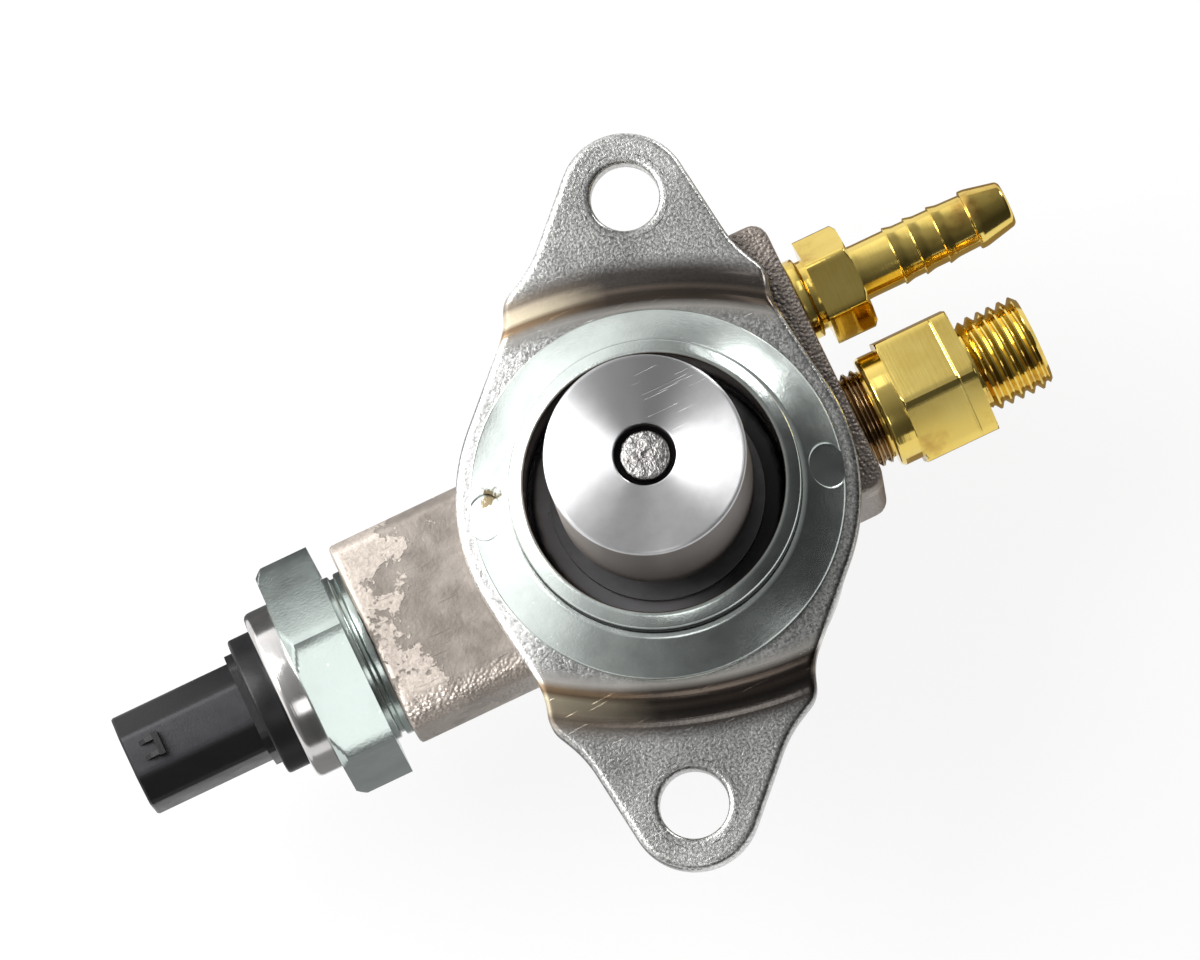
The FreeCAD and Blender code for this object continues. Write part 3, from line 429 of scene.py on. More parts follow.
# %% [markdown]
# The zinc plated collar is turned in one chucking: a shoulder that slopes up
# from the plate, a groove for the sealing ring and a round nosed lip. Two
# round stakes at its foot pin it to the plate. The spun section gives the
# turned form, and the stakes are cut with a true boolean, because they leave
# a flat floor in a sloping face and no section can hold that.

# %% Pilot collar
COLLAR_SECTION = [
    (15.72, 2.22), (22.72, 2.22, 0.1), (22.72, 3.0, 0.5), (18.25, 6.55, 0.3), (17.6, 6.62, 0.12),
    (17.45, 6.5, 0.1), (15.98, 6.62, 0.1), (15.98, 9.08, 0.1), (17.6, 9.1, 0.12), (17.6, 9.8, 0.25),
    (16.15, 10.58, 0.6), (15.7, 10.6, 0.15)]
collar_verts, collar_faces = spun(COLLAR_SECTION, on_pump, True, 220)
collar = piece("pilot_collar_turned", collar_verts, collar_faces, "pump", "pilot_collar", 28)
STAKE_TURN = math.radians(-17.0)
STAKE_REACH = 21.0
STAKE_HEIGHT = 4.35


def stake_tool(turn):
    section = [(0.001, -0.42), (2.75, -0.42, 0.25), (3.15, 0.6), (3.15, 5.0), (0.001, 5.0)]
    verts, faces = spun(section, on_pump, True, 72)
    slope = math.atan2(3.6, 4.65) - math.radians(5.5)
    lean = Matrix.Rotation(turn, 4, "Z") @ Matrix.Translation(Vector((STAKE_REACH, 0, STAKE_HEIGHT)) * MM)
    lean = lean @ Matrix.Rotation(slope, 4, "Y")
    mesh = bpy.data.meshes.new("stake_tool")
    mesh.from_pydata([tuple(lean @ v) for v in verts], [], faces)
    clean(mesh, 2e-6)
    return on_stage("stake_tool", mesh)


def cut_away(target, tools):
    for tool in tools:
        step = target.modifiers.new("cut", "BOOLEAN")
        step.operation = "DIFFERENCE"
        step.solver = "EXACT"
        step.object = tool
    bpy.context.view_layer.update()
    shown = target.evaluated_get(bpy.context.evaluated_depsgraph_get())
    fresh = bpy.data.meshes.new_from_object(shown)
    target.modifiers.clear()
    target.data = fresh
    fresh.shade_smooth()
    fresh.set_sharp_from_angle(angle=math.radians(28))
    for tool in tools:
        bpy.data.objects.remove(tool)
    print(target.name, "after cutting", len(fresh.polygons), "faces")


cut_away(collar, [stake_tool(STAKE_TURN), stake_tool(STAKE_TURN + math.pi)])

# %% [markdown]
# The spring cup is the brightest piece: a drawn and turned steel cup whose
# face rides on the cam follower. Its wall keeps fine tool rings, so the wall
# section is drawn with a shallow ripple, and its face stays flat for the
# brushed finish to do the rest. The plunger's tip stands in the sunken hole.

# %% Spring cup and plunger tip
CUP_FACE = 29.2
cup_section = [(3.02, 26.2), (10.6, 26.2, 0.8), (10.6, 9.25, 0.2), (12.0, 9.25, 0.35)]
for ripple in range(18):
    height = 10.2 + ripple * 1.0
    cup_section += [(11.985, height), (11.96, height + 0.5)]
cup_section += [(12.0, CUP_FACE, 0.55), (3.72, CUP_FACE, 0.18), (3.66, 27.2, 0.1), (3.02, 27.2)]
cup_verts, cup_faces = spun(cup_section, on_pump, True, 220)
cup = piece("spring_cup", cup_verts, cup_faces, "plunger_group", "spring_retainer", 40)
tip_section = [
    (0.0, -5.75), (3.95, -5.75, 0.3), (3.95, 5.15, 0.3), (2.98, 6.0, 0.3), (2.98, 28.7, 0.45),
    (0.45, 28.8, 0.2), (0.3, 28.68, 0.1), (0.0, 28.66)]
tip_verts, tip_faces = spun(tip_section, on_pump, False, 96)
tip = piece("plunger_rod", tip_verts, tip_faces, "plunger_group", "plunger", 40)

# %% [markdown]
# The solenoid end is a stack of turned and hexagonal steps on the arm. Its
# housing is zinc plated steel, the closing ring is bare turned steel with a
# rounded shoulder. Spun sections and the hexagon share one axis.

# %% Solenoid housing and closing ring
HEX_TURN = math.radians(8.2)
neck = spun([
    (6.26, 28.65), (8.2, 28.65, 0.2), (8.98, 29.4, 0.2), (8.98, 38.82, 0.1), (10.8, 38.82, 0.15),
    (10.8, 39.75, 0.2), (10.3, 39.85, 0.1), (10.3, 40.35, 0.1), (10.8, 40.45, 0.2), (10.8, 41.3, 0.1),
    (10.02, 41.3), (6.26, 40.0)], on_arm)
nut = hexagon(27.0, 41.2, 48.4, 1.15, on_arm, HEX_TURN, both=False, bore=10.02, crown=14.35)
housing_verts, housing_faces = joined(neck, nut)
housing = piece("solenoid_hex", housing_verts, housing_faces, "pump", "solenoid_housing", 25)
ring_verts, ring_faces = spun([
    (9.72, 48.42), (10.95, 48.42, 0.3), (10.95, 51.9, 0.95), (0.01, 51.9), (0.01, 50.42), (9.72, 50.42)],
    on_arm)
cap_ring = piece("closing_ring", ring_verts, ring_faces, "pump", "solenoid_cap_ring", 30)

# %% [markdown]
# The plug socket is moulded: a disc, a short collar and a keyed shell with a
# flat ridge on top, sloping shoulders and an open mouth. Moulded edges have
# small even radii, so each block is a prism with rounded corners.

# %% Moulded plug socket
SHELL = [(6.6, 2.7), (4.0, 5.9), (-4.6, 5.9), (-5.6, 4.9), (-5.6, -4.9), (-4.6, -5.9), (4.0, -5.9),
         (6.6, -2.7)]
SOCKET_WALL = 1.3


def block_along_arm(section, start, end, rounding=0.7, steps=4):
    line = rounded([point + (rounding,) for point in section], True, steps)
    count = len(line)
    verts = []
    for height in (start, end):
        verts += [Vector((-height, point.y, PORT_Z + point.x)) * MM for point in line]
    faces = [tuple(range(count)), tuple(reversed(range(count, 2 * count)))]
    return verts, faces + grid_faces(2, count)


def shrunk(section, amount):
    return [(x - math.copysign(amount, x), y - math.copysign(amount * (0.6 if x > 6 else 1), y))
            for x, y in section]


def open_shell():
    outer = rounded([point + (0.7,) for point in SHELL], True, 4)
    inner = rounded([point + (0.4,) for point in shrunk(SHELL, SOCKET_WALL)], True, 4)
    count = len(outer)
    shaved = [point * 0.975 for point in outer]
    rows = [(outer, 55.7), (outer, 71.35), (shaved, 71.6), (inner, 71.6), (inner, 71.3), (inner, 61.0)]
    verts = []
    for line, height in rows:
        verts += [Vector((-height, point.y, PORT_Z + point.x)) * MM for point in line]
    faces = [tuple(reversed(range(count))), tuple(range(5 * count, 6 * count))]
    return verts, faces + grid_faces(len(rows), count)


disc = spun([(0.01, 51.92), (8.9, 51.92, 0.2), (8.9, 54.9, 0.45), (0.01, 54.9)], on_arm)
collar_block = block_along_arm([(6.9, 4.8), (5.2, 6.6), (-5.0, 6.6), (-6.3, 5.2), (-6.3, -5.2), (-5.0, -6.6),
                                (5.2, -6.6), (6.9, -4.8)], 54.6, 55.9)


def rib(profile, side, other):
    verts = [Vector((-height, y, PORT_Z + rise)) * MM for y in (side, other) for height, rise in profile]
    count = len(profile)
    faces = [tuple(range(count)), tuple(range(2 * count - 1, count - 1, -1))]
    return verts, faces + grid_faces(2, count)


latch_wall = rib([(67.0, 6.4), (67.0, 7.7), (67.8, 7.7), (67.8, 6.4)], -1.5, 1.5)
latch_cheek = [(67.7, 6.4), (67.7, 7.4), (68.8, 7.3), (69.6, 6.6), (69.6, 6.4)]
latch = joined(latch_wall, rib(latch_cheek, -1.3, -0.7), rib(latch_cheek, 0.7, 1.3))
plug_verts, plug_faces = joined(disc, collar_block, open_shell(), latch)
plug = piece("plug_socket", plug_verts, plug_faces, "pump", "connector_body", 30)

# %% [markdown]
# The outlet union is cut from brass hexagon bar: root, collar, hexagon with a
# fine scored line, neck and an M12 thread with a coned mouth. The inlet is a
# smaller hexagon with a ribbed hose stub.

# %% Brass outlet union
PITCH = 1.42
union_inner = spun([
    (2.3, 12.05), (5.8, 12.05, 0.2), (6.18, 12.5, 0.1), (6.18, 25.95), (5.7, 26.2, 0.2), (5.7, 26.4, 0.1),
    (6.2, 26.75, 0.2), (6.2, 27.0, 0.1), (5.7, 27.3, 0.2), (5.7, 27.5, 0.1), (6.2, 27.85, 0.2),
    (6.2, 28.05, 0.1), (5.7, 28.35, 0.2), (5.7, 28.82), (6.85, 28.82, 0.2), (7.2, 29.2, 0.25),
    (7.2, 31.78), (2.3, 31.78)], on_outlet)
union_hex = hexagon(15.8, 31.7, 41.3, 0.3, on_outlet, math.radians(12.5), crown=8.75)
union_neck = spun([(1.52, 41.0), (5.3, 41.0), (5.3, 41.95), (1.52, 41.95)], on_outlet)
union_thread = thread(6.0, 5.3, PITCH, 41.8, 50.0, 0.7, on_outlet)
union_mouth = spun([(5.3, 41.8), (5.3, 50.0), (3.55, 50.0, 0.1), (1.5, 47.9, 0.1), (1.5, 41.8)], on_outlet,
                   False)
outlet_verts, outlet_faces = joined(union_inner, union_hex, union_neck, union_thread, union_mouth)
union = piece("outlet_union", outlet_verts, outlet_faces, "pump", "outlet_fitting", 33)

# %% [markdown]
# The hose stub has three low hooks and a barb with a long cone, so a hose
# slides on and can't slip off.

# %% Brass hose stub
stub = [(2.1, 25.0), (2.92, 25.0), (2.92, 18.05), (4.2, 18.05, 0.2), (4.58, 18.5, 0.1), (4.58, 25.9),
        (5.2, 25.95, 0.25), (5.2, 27.4, 0.3), (4.55, 27.55, 0.1), (4.55, 28.45), (3.55, 28.45),
        (3.55, 34.0, 0.3), (3.5, 34.8, 0.5)]
for hook in (39.1, 41.9, 45.1):
    stub += [(3.5, hook - 0.06, 0.05), (3.8, hook, 0.08), (3.52, hook + 1.2, 0.3)]
stub += [(3.42, 49.25, 0.1), (3.83, 49.35, 0.1), (3.83, 50.1, 0.4), (2.95, 54.1, 0.25), (2.6, 54.4, 0.15),
         (2.15, 54.4, 0.12)]
stub_turned = spun(stub, on_inlet)
stub_hex = hexagon(12.0, 28.4, 33.9, 0.55, on_inlet, math.radians(41), both=False, bore=3.5, crown=6.2)
inlet_verts, inlet_faces = joined(stub_turned, stub_hex)
barb = piece("hose_stub", inlet_verts, inlet_faces, "pump", "inlet_fitting", 33)

# %% [markdown]
# The body is an investment casting: every edge is soft and the skin is
# slightly uneven. Remeshing a copy of the solid into small even cells and
# relaxing them rounds all edges at once, which no bevel does on such a form,
# and the even cells take a fine displacement well.

# %% Cast body
CAST_CELL = 0.41


def cast_skin(node, name, cell, relax):
    source = bpy.data.objects[node]
    item = on_stage(name, source.data.copy())
    remesh = item.modifiers.new("cells", "REMESH")
    remesh.mode = "VOXEL"
    remesh.voxel_size = cell * MM
    soften = item.modifiers.new("soften", "SMOOTH")
    soften.factor = 0.5
    soften.iterations = relax
    bpy.context.view_layer.update()
    shown = item.evaluated_get(bpy.context.evaluated_depsgraph_get())
    mesh = bpy.data.meshes.new_from_object(shown)
    item.modifiers.clear()
    item.data = mesh
    mesh.shade_smooth()
    print(name, len(mesh.polygons), "faces")
    return item


casting = cast_skin("pump_body", "cast_body", CAST_CELL, 6)
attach(casting, "pump")
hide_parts("pump_body")

# %% [markdown]
# The damper cover is a drawn steel cap. It is hidden in the photograph, but
# other views show it, so it gets the soft bottom corner and the shallow
# embossed disc that stiffens such a cap.

# %% Damper cover
cover_verts, cover_faces = spun([
    (0.01, -39.2), (10.0, -39.2, 1.0), (12.0, -39.7, 1.0), (18.2, -39.7, 2.0), (20.4, -37.6, 1.5),
    (20.4, -25.85, 0.1), (21.45, -25.85, 0.2), (21.45, -38.0, 1.6), (20.3, -40.1, 1.0), (18.6, -40.8, 0.8),
    (12.4, -40.8, 1.0), (10.6, -40.25, 1.0), (0.01, -40.25)], on_pump, True, 160)
cover = piece("drawn_cover", cover_verts, cover_faces, "pump", "damper_cover", 40)

# %% [markdown]
# Now the finishes. Each one is a small network over the pump's own
# coordinates in metres, so a grain has the size it has on the real metal.
# The helper starts a material with its shader and keeps plain numbers on the
# shader's own sockets.

# %% Start a finish
def finish(name, colour, metal, rough, **fixed):
    material = bpy.data.materials.new(name)
    material.use_nodes = True
    tree = material.node_tree
    shader = tree.nodes["Principled BSDF"]
    shader.inputs["Base Color"].default_value = tuple(colour) + (1,)
    shader.inputs["Metallic"].default_value = metal
    shader.inputs["Roughness"].default_value = rough
    for key, value in fixed.items():
        shader.inputs[key.replace("_", " ")].default_value = value
    return material, tree, shader


def add(tree, kind, **settings):
    node = tree.nodes.new(kind)
    for key, value in settings.items():
        if key.startswith("in_"):
            slot_key = key[3:]
            slot_key = int(slot_key) if slot_key.isdigit() else slot_key.replace("_", " ")
            node.inputs[slot_key].default_value = value
        else:
            setattr(node, key, value)
    return node


def math_node(tree, operation, first, second=None, third=None, clamp=False):
    node = tree.nodes.new("ShaderNodeMath")
    node.operation = operation
    node.use_clamp = clamp
    for index, value in enumerate((first, second, third)):
        if value is None:
            continue
        if isinstance(value, (int, float)):
            node.inputs[index].default_value = value
        else:
            tree.links.new(value, node.inputs[index])
    return node.outputs[0]


def scaled(tree, value, factor, offset, clamp=False):
    return math_node(tree, "MULTIPLY_ADD", value, factor, offset, clamp)


def times(tree, first, second, clamp=False):
    return math_node(tree, "MULTIPLY", first, second, None, clamp)


def plus(tree, first, second, clamp=False):
    return math_node(tree, "ADD", first, second, None, clamp)


def split_xyz(tree, vector):
    node = tree.nodes.new("ShaderNodeSeparateXYZ")
    tree.links.new(vector, node.inputs[0])
    return node.outputs


def flat_xy(tree, first, second):
    node = tree.nodes.new("ShaderNodeCombineXYZ")
    tree.links.new(first, node.inputs[0])
    tree.links.new(second, node.inputs[1])
    return node.outputs[0]


def toward(tree, vector, direction, operation="DOT_PRODUCT"):
    """How far a place lies in a direction, or the place moved that way."""
    node = add(tree, "ShaderNodeVectorMath", operation=operation)
    node.inputs[1].default_value = direction
    tree.links.new(vector, node.inputs[0])
    return node.outputs["Value" if operation == "DOT_PRODUCT" else "Vector"]


def place_vector(tree):
    return tree.nodes.new("ShaderNodeTexCoord").outputs["Object"]


def noise(tree, vector, scale, detail=3.0, rough=0.55):
    node = add(tree, "ShaderNodeTexNoise", in_Scale=scale, in_Detail=detail, in_Roughness=rough)
    tree.links.new(vector, node.inputs["Vector"])
    return node.outputs["Fac"]


def ramp(tree, value, stops):
    node = tree.nodes.new("ShaderNodeValToRGB")
    band = node.color_ramp
    while len(band.elements) < len(stops):
        band.elements.new(0.5)
    for element, (spot, colour) in zip(band.elements, stops):
        element.position = spot
        element.color = tuple(colour) + (1,) if len(colour) == 3 else (colour[0],) * 3 + (1,)
    tree.links.new(value, node.inputs["Fac"])
    return node.outputs["Color"]


def blend(tree, share, first, second):
    node = tree.nodes.new("ShaderNodeMix")
    node.data_type = "RGBA"
    for value, slot_index in ((share, 0), (first, 6), (second, 7)):
        if isinstance(value, (int, float)):
            node.inputs[slot_index].default_value = value
        elif isinstance(value, tuple):
            node.inputs[slot_index].default_value = value + (1,)
        else:
            tree.links.new(value, node.inputs[slot_index])
    return node.outputs[2]


def multiplied(tree, first, second):
    node = add(tree, "ShaderNodeMix", data_type="RGBA", blend_type="MULTIPLY")
    node.inputs[0].default_value = 1.0
    tree.links.new(first, node.inputs[6])
    tree.links.new(second, node.inputs[7])
    return node.outputs[2]


def coat(tree, shader, colour, rough=None):
    tree.links.new(colour, shader.inputs["Base Color"])
    if rough is not None:
        tree.links.new(rough, shader.inputs["Roughness"])


def bump(tree, shader, height, distance, strength=1.0):
    node = add(tree, "ShaderNodeBump", in_Strength=strength, in_Distance=distance)
    tree.links.new(height, node.inputs["Height"])
    tree.links.new(node.outputs["Normal"], shader.inputs["Normal"])


# %% [markdown]
# Two more helpers serve several finishes. The first gives the distance from
# a turning axis and the place along it. The second lays hair scratches: a
# noise stretched forty to one leaves long thin islands, and only its highest
# crests are kept. Turned a little between layers, they cross like real ones.

# %% Turning coordinates and scratches
def turned_place(tree, vector, axis, centre):
    from_centre = toward(tree, vector, tuple(value * MM for value in centre), "SUBTRACT")
    parts = split_xyz(tree, from_centre)
    along = parts["XYZ".index(axis)]
    others = [parts[index] for index in range(3) if "XYZ"[index] != axis]
    squares = [times(tree, other, other) for other in others]
    return math_node(tree, "SQRT", plus(tree, squares[0], squares[1])), along


def scratches(tree, vector, turn, edge):
    layers = []
    for index, lean in enumerate((turn, turn + 0.9)):
        mapping = add(tree, "ShaderNodeMapping")
        mapping.inputs["Rotation"].default_value = (0, 0, lean)
        mapping.inputs["Location"].default_value = (0.013 * index, 0.007, 0)
        mapping.inputs["Scale"].default_value = (130.0, 5200.0, 130.0)
        tree.links.new(vector, mapping.inputs["Vector"])
        hair = noise(tree, mapping.outputs[0], 1.0, 1.0, 0.5)
        layers.append(scaled(tree, hair, 30.0, -30.0 * edge, clamp=True))
    return math_node(tree, "MAXIMUM", layers[0], layers[1])


# %% [markdown]
# Pressed plate: nickel over blasted steel. Its grain is about a third of a
# millimetre, seen as sparkle more than as relief, under broad clouds where
# the plating took differently. It is lighter at the ear tips, and lighter
# towards the left as painted light. In the bends the press has ironed the
# grain flat: there the surface mirrors, and its dark, bright and gold bands
# are painted reflections and painted shade, gold towards the left and dark
# towards the right. The bends are found from the same arc that shaped them.

# %% Plate finish
def bend_reach(tree, vector):
    parts = split_xyz(tree, vector)
    reaches = []
    for side in (1, -1):
        centre = Vector((math.cos(EAR_TURN), math.sin(EAR_TURN))) * (-BOW_BACK * MM * side)
        across = [math_node(tree, "SUBTRACT", parts[index], centre[index]) for index in (0, 1)]
        squares = [times(tree, value, value) for value in across]
        span = math_node(tree, "SQRT", plus(tree, squares[0], squares[1]))
        reaches.append(math_node(tree, "SUBTRACT", span, BOW_BACK * MM))
    return math_node(tree, "MAXIMUM", reaches[0], reaches[1])


BEND_NEAR = 21.5
BEND_SPAN = 9.0
PHOTO_LEFT = (-0.905, 0.425, 0.0)
PHOTO_UP = (0.425, 0.905, 0.0)
ALONG_BEND = (-0.956, 0.316, 0.0)
WHOLLY = (1.0,)
NOT_AT_ALL = (0.0,)


def plate_finish():
    material, tree, shader = finish("pressed_nickel", (0.62, 0.60, 0.57), 1.0, 0.3)
    vector = place_vector(tree)
    reach = bend_reach(tree, vector)
    way = scaled(tree, reach, 1 / (BEND_SPAN * MM), -BEND_NEAR / BEND_SPAN, clamp=True)
    ironed = ramp(tree, way, [
        (0.0, NOT_AT_ALL), (0.16, (0.9,)), (0.3, WHOLLY), (0.72, (0.9,)), (0.95, NOT_AT_ALL)])
    sparkle = noise(tree, vector, 3000.0, 2.0, 0.75)
    tooth = noise(tree, vector, 1500.0, 3.0, 0.6)
    clouds = noise(tree, vector, 85.0, 4.0, 0.6)
    base = ramp(tree, clouds, [
        (0.3, (0.62, 0.62, 0.605)), (0.5, (0.74, 0.74, 0.72)), (0.72, (0.86, 0.86, 0.84))])
    flecks = ramp(tree, sparkle, [(0.36, (0.42,)), (0.5, (0.78,)), (0.62, (1.15,))])
    # The colour is lighter at the ear tips, and lighter towards the left as painted light.
    tips = scaled(tree, reach, 75.0, -2.45, clamp=True)
    left = scaled(tree, toward(tree, vector, PHOTO_LEFT), 140.0, -1.7, clamp=True)
    tips_and_painted_light = scaled(tree, tips, 0.36, scaled(tree, left, 1.1, 0.68))
    lit = add(tree, "ShaderNodeVectorMath", operation="SCALE")
    tree.links.new(base, lit.inputs[0])
    tree.links.new(tips_and_painted_light, lit.inputs["Scale"])
    grained = multiplied(tree, lit.outputs[0], flecks)
    # Painted reflections and painted shade in the bends: dark, bright and gold bands across each bend, gold
    # towards the left and dark towards the right.
    bend_painted_shade = ramp(tree, way, [
        (0.03, (0.50, 0.49, 0.47)), (0.17, (0.70, 0.67, 0.62)), (0.27, (0.10, 0.08, 0.065)),
        (0.40, (0.07, 0.055, 0.045)), (0.46, (0.16, 0.125, 0.10)), (0.53, (0.06, 0.05, 0.042)),
        (0.75, (0.11, 0.095, 0.085)), (1.0, (0.36, 0.35, 0.34))])
    bend_painted_gold_reflection = ramp(tree, way, [
        (0.03, (0.70, 0.68, 0.66)), (0.19, (0.95, 0.92, 0.86)), (0.29, (0.52, 0.36, 0.22)),
        (0.35, (0.34, 0.23, 0.14)), (0.42, (0.98, 0.86, 0.62)), (0.58, (0.80, 0.68, 0.50)),
        (0.66, (0.34, 0.27, 0.20)), (1.0, (0.55, 0.54, 0.52))])
    painted_light_leftward = scaled(tree, toward(tree, vector, ALONG_BEND), 85.0, -0.25)
    painted_light_leftward = plus(tree, painted_light_leftward, scaled(tree, clouds, 0.5, -0.25), clamp=True)
    bend_painted_reflection = blend(tree, painted_light_leftward, bend_painted_shade, bend_painted_gold_reflection)
    dull = scaled(tree, clouds, 0.22, 0.2)
    coat(tree, shader, blend(tree, ironed, grained, bend_painted_reflection), scaled(tree, ironed, -0.10, dull))
    streaks = noise(tree, flat_xy(tree, times(tree, reach, 1500.0), times(tree, clouds, 1.2)), 1.0, 3.0, 0.6)
    calm = scaled(tree, ironed, -0.92, 1.0)
    hair = scratches(tree, vector, 0.4, 0.74)
    grain = plus(tree, times(tree, sparkle, 0.7), tooth)
    height = times(tree, grain, calm)
    height = scaled(tree, hair, -0.4, height)
    height = scaled(tree, times(tree, streaks, ironed), 0.9, height)
    bump(tree, shader, height, 0.00005, 0.75)
    return material


# %% [markdown]
# Cast body: a pale flaking plating over taupe metal. Islands with hard edges
# come from one noise pushed through a steep ramp, denser towards the
# solenoid, and they stand a little proud, so the light finds their edges.
# The port block and the arm's lower edge kept the pebbled skin of the mould.
# The well under the collar is smooth, and painted shade makes its one side near black.

# %% Cast finish
ISLAND_SHIFT = (0.113, -0.024, 0.071)
WELL_PAINTED_SHADE_SIDE = (0.87, -0.50, 0.0)


def cast_finish():
    material, tree, shader = finish("cast_skin", (0.35, 0.31, 0.27), 0.55, 0.45)
    vector = place_vector(tree)
    parts = split_xyz(tree, vector)
    islands = noise(tree, toward(tree, vector, ISLAND_SHIFT, "ADD"), 78.0, 10.0, 0.66)
    fine = noise(tree, vector, 2100.0, 3.0, 0.6)
    soft = noise(tree, vector, 320.0, 4.0, 0.6)
    broad = noise(tree, vector, 45.0, 2.0, 0.5)
    near_end = scaled(tree, parts[0], -7.0, -0.21)
    mixed = scaled(tree, broad, 0.4, times(tree, islands, 0.7))
    near_end = math_node(tree, "MINIMUM", math_node(tree, "MAXIMUM", near_end, -0.09), 0.03)
    mixed = plus(tree, mixed, near_end)
    patches = ramp(tree, mixed, [(0.548, NOT_AT_ALL), (0.556, WHOLLY)])
    ground = ramp(tree, soft, [
        (0.32, (0.205, 0.178, 0.155)), (0.5, (0.255, 0.225, 0.198)), (0.68, (0.32, 0.285, 0.252))])
    plating = ramp(tree, fine, [(0.35, (0.45, 0.39, 0.345)), (0.65, (0.60, 0.53, 0.47))])
    skin = blend(tree, patches, ground, plating)
    block = scaled(tree, parts[0], 600.0, -4.0, clamp=True)
    edge = scaled(tree, parts[1], -450.0, -3.9, clamp=True)
    rough_zone = math_node(tree, "MAXIMUM", block, edge)
    skin = blend(tree, times(tree, block, 0.5), skin, (0.27, 0.225, 0.20))
    skin = blend(tree, times(tree, edge, 0.6), skin, (0.50, 0.44, 0.39))
    # Painted shade: one side of the well under the collar is made near black.
    well_painted_shade = scaled(tree, toward(tree, vector, WELL_PAINTED_SHADE_SIDE), 140.0, -0.4, clamp=True)
    well_painted_shade_tone = blend(tree, well_painted_shade, (0.22, 0.215, 0.225), (0.030, 0.029, 0.031))
    radius, height_up = turned_place(tree, vector, "Z", (0, 0, 0))
    well = times(tree, scaled(tree, radius, -4000.0, 63.6, clamp=True),
                     scaled(tree, height_up, 3000.0, 6.0, clamp=True))
    matt = scaled(tree, patches, -0.06, scaled(tree, soft, 0.2, 0.36))
    coat(tree, shader, blend(tree, well, skin, well_painted_shade_tone), scaled(tree, well, -0.12, matt))
    pebbles = add(tree, "ShaderNodeTexVoronoi", feature="SMOOTH_F1", in_Scale=2300.0, in_Smoothness=0.6)
    tree.links.new(vector, pebbles.inputs["Vector"])
    stones = times(tree, times(tree, pebbles.outputs["Distance"], rough_zone), -2.6)
    hair = scratches(tree, vector, 0.9, 0.75)
    height = scaled(tree, patches, 0.55, times(tree, fine, 0.45))
    height = scaled(tree, soft, 0.5, height)
    height = scaled(tree, hair, 0.5, plus(tree, height, stones))
    height = times(tree, height, scaled(tree, well, -0.95, 1.0))
    bump(tree, shader, height, 0.00011, 0.85)
    return material


# %% [markdown]
# Zinc: a cool, slightly green bright plating, smooth, with faint clouds in
# its gloss from the bath. Inside the collar's bore radius the colour falls
# to a dark brown steel: painted shade in the bore.

# %% Zinc finish
def zinc_finish(name, colour, bore, stain=None):
    material, tree, shader = finish(name, colour, 1.0, 0.3)
    vector = place_vector(tree)
    clouds = noise(tree, vector, 140.0, 4.0, 0.6)
    fine = noise(tree, vector, 2600.0, 2.0, 0.5)
    specks = noise(tree, vector, 900.0, 2.0, 0.7)
    plated = ramp(tree, clouds, [(0.3, tuple(c * 0.86 for c in colour)), (0.5, colour),
                                 (0.7, tuple(min(1.0, c * 1.1) for c in colour))])
    chips = ramp(tree, specks, [(0.70, NOT_AT_ALL), (0.74, WHOLLY)])
    plated = blend(tree, times(tree, chips, 0.6), plated, (0.86, 0.88, 0.86))
    if stain:
        reach, _ = turned_place(tree, vector, "Z", stain)
        ragged = scaled(tree, specks, 4.4, -0.9)
        spot = times(tree, scaled(tree, reach, -1000.0, ragged), 1.6, clamp=True)
        plated = blend(tree, spot, plated, (0.17, 0.135, 0.08))
    # Painted shade: inside the bore radius the colour falls to a dark brown.
    radius, along = turned_place(tree, vector, "Z", (0, 0, 0))
    inner = scaled(tree, radius, -5000.0, 5000.0 * bore * MM, clamp=True)
    coat(tree, shader, blend(tree, inner, plated, (0.22, 0.175, 0.145)), scaled(tree, clouds, 0.2, 0.14))
    bump(tree, shader, fine, 0.00002, 0.6)
    return material


# %% [markdown]
# Turned steel: a lathe leaves rings too fine to see, but they stretch every
# highlight across them, which makes the bow tie of light on a turned face.
# Anisotropy with a tangent that runs round the axis gives that without
# modelling rings. Scratches from handling cross it, and the narrow gap round
# the plunger's tip is painted near black as painted shade. A finish can also
# be made darker towards one side as painted shade, and dark brown below a
# height as painted shade and painted reflection.

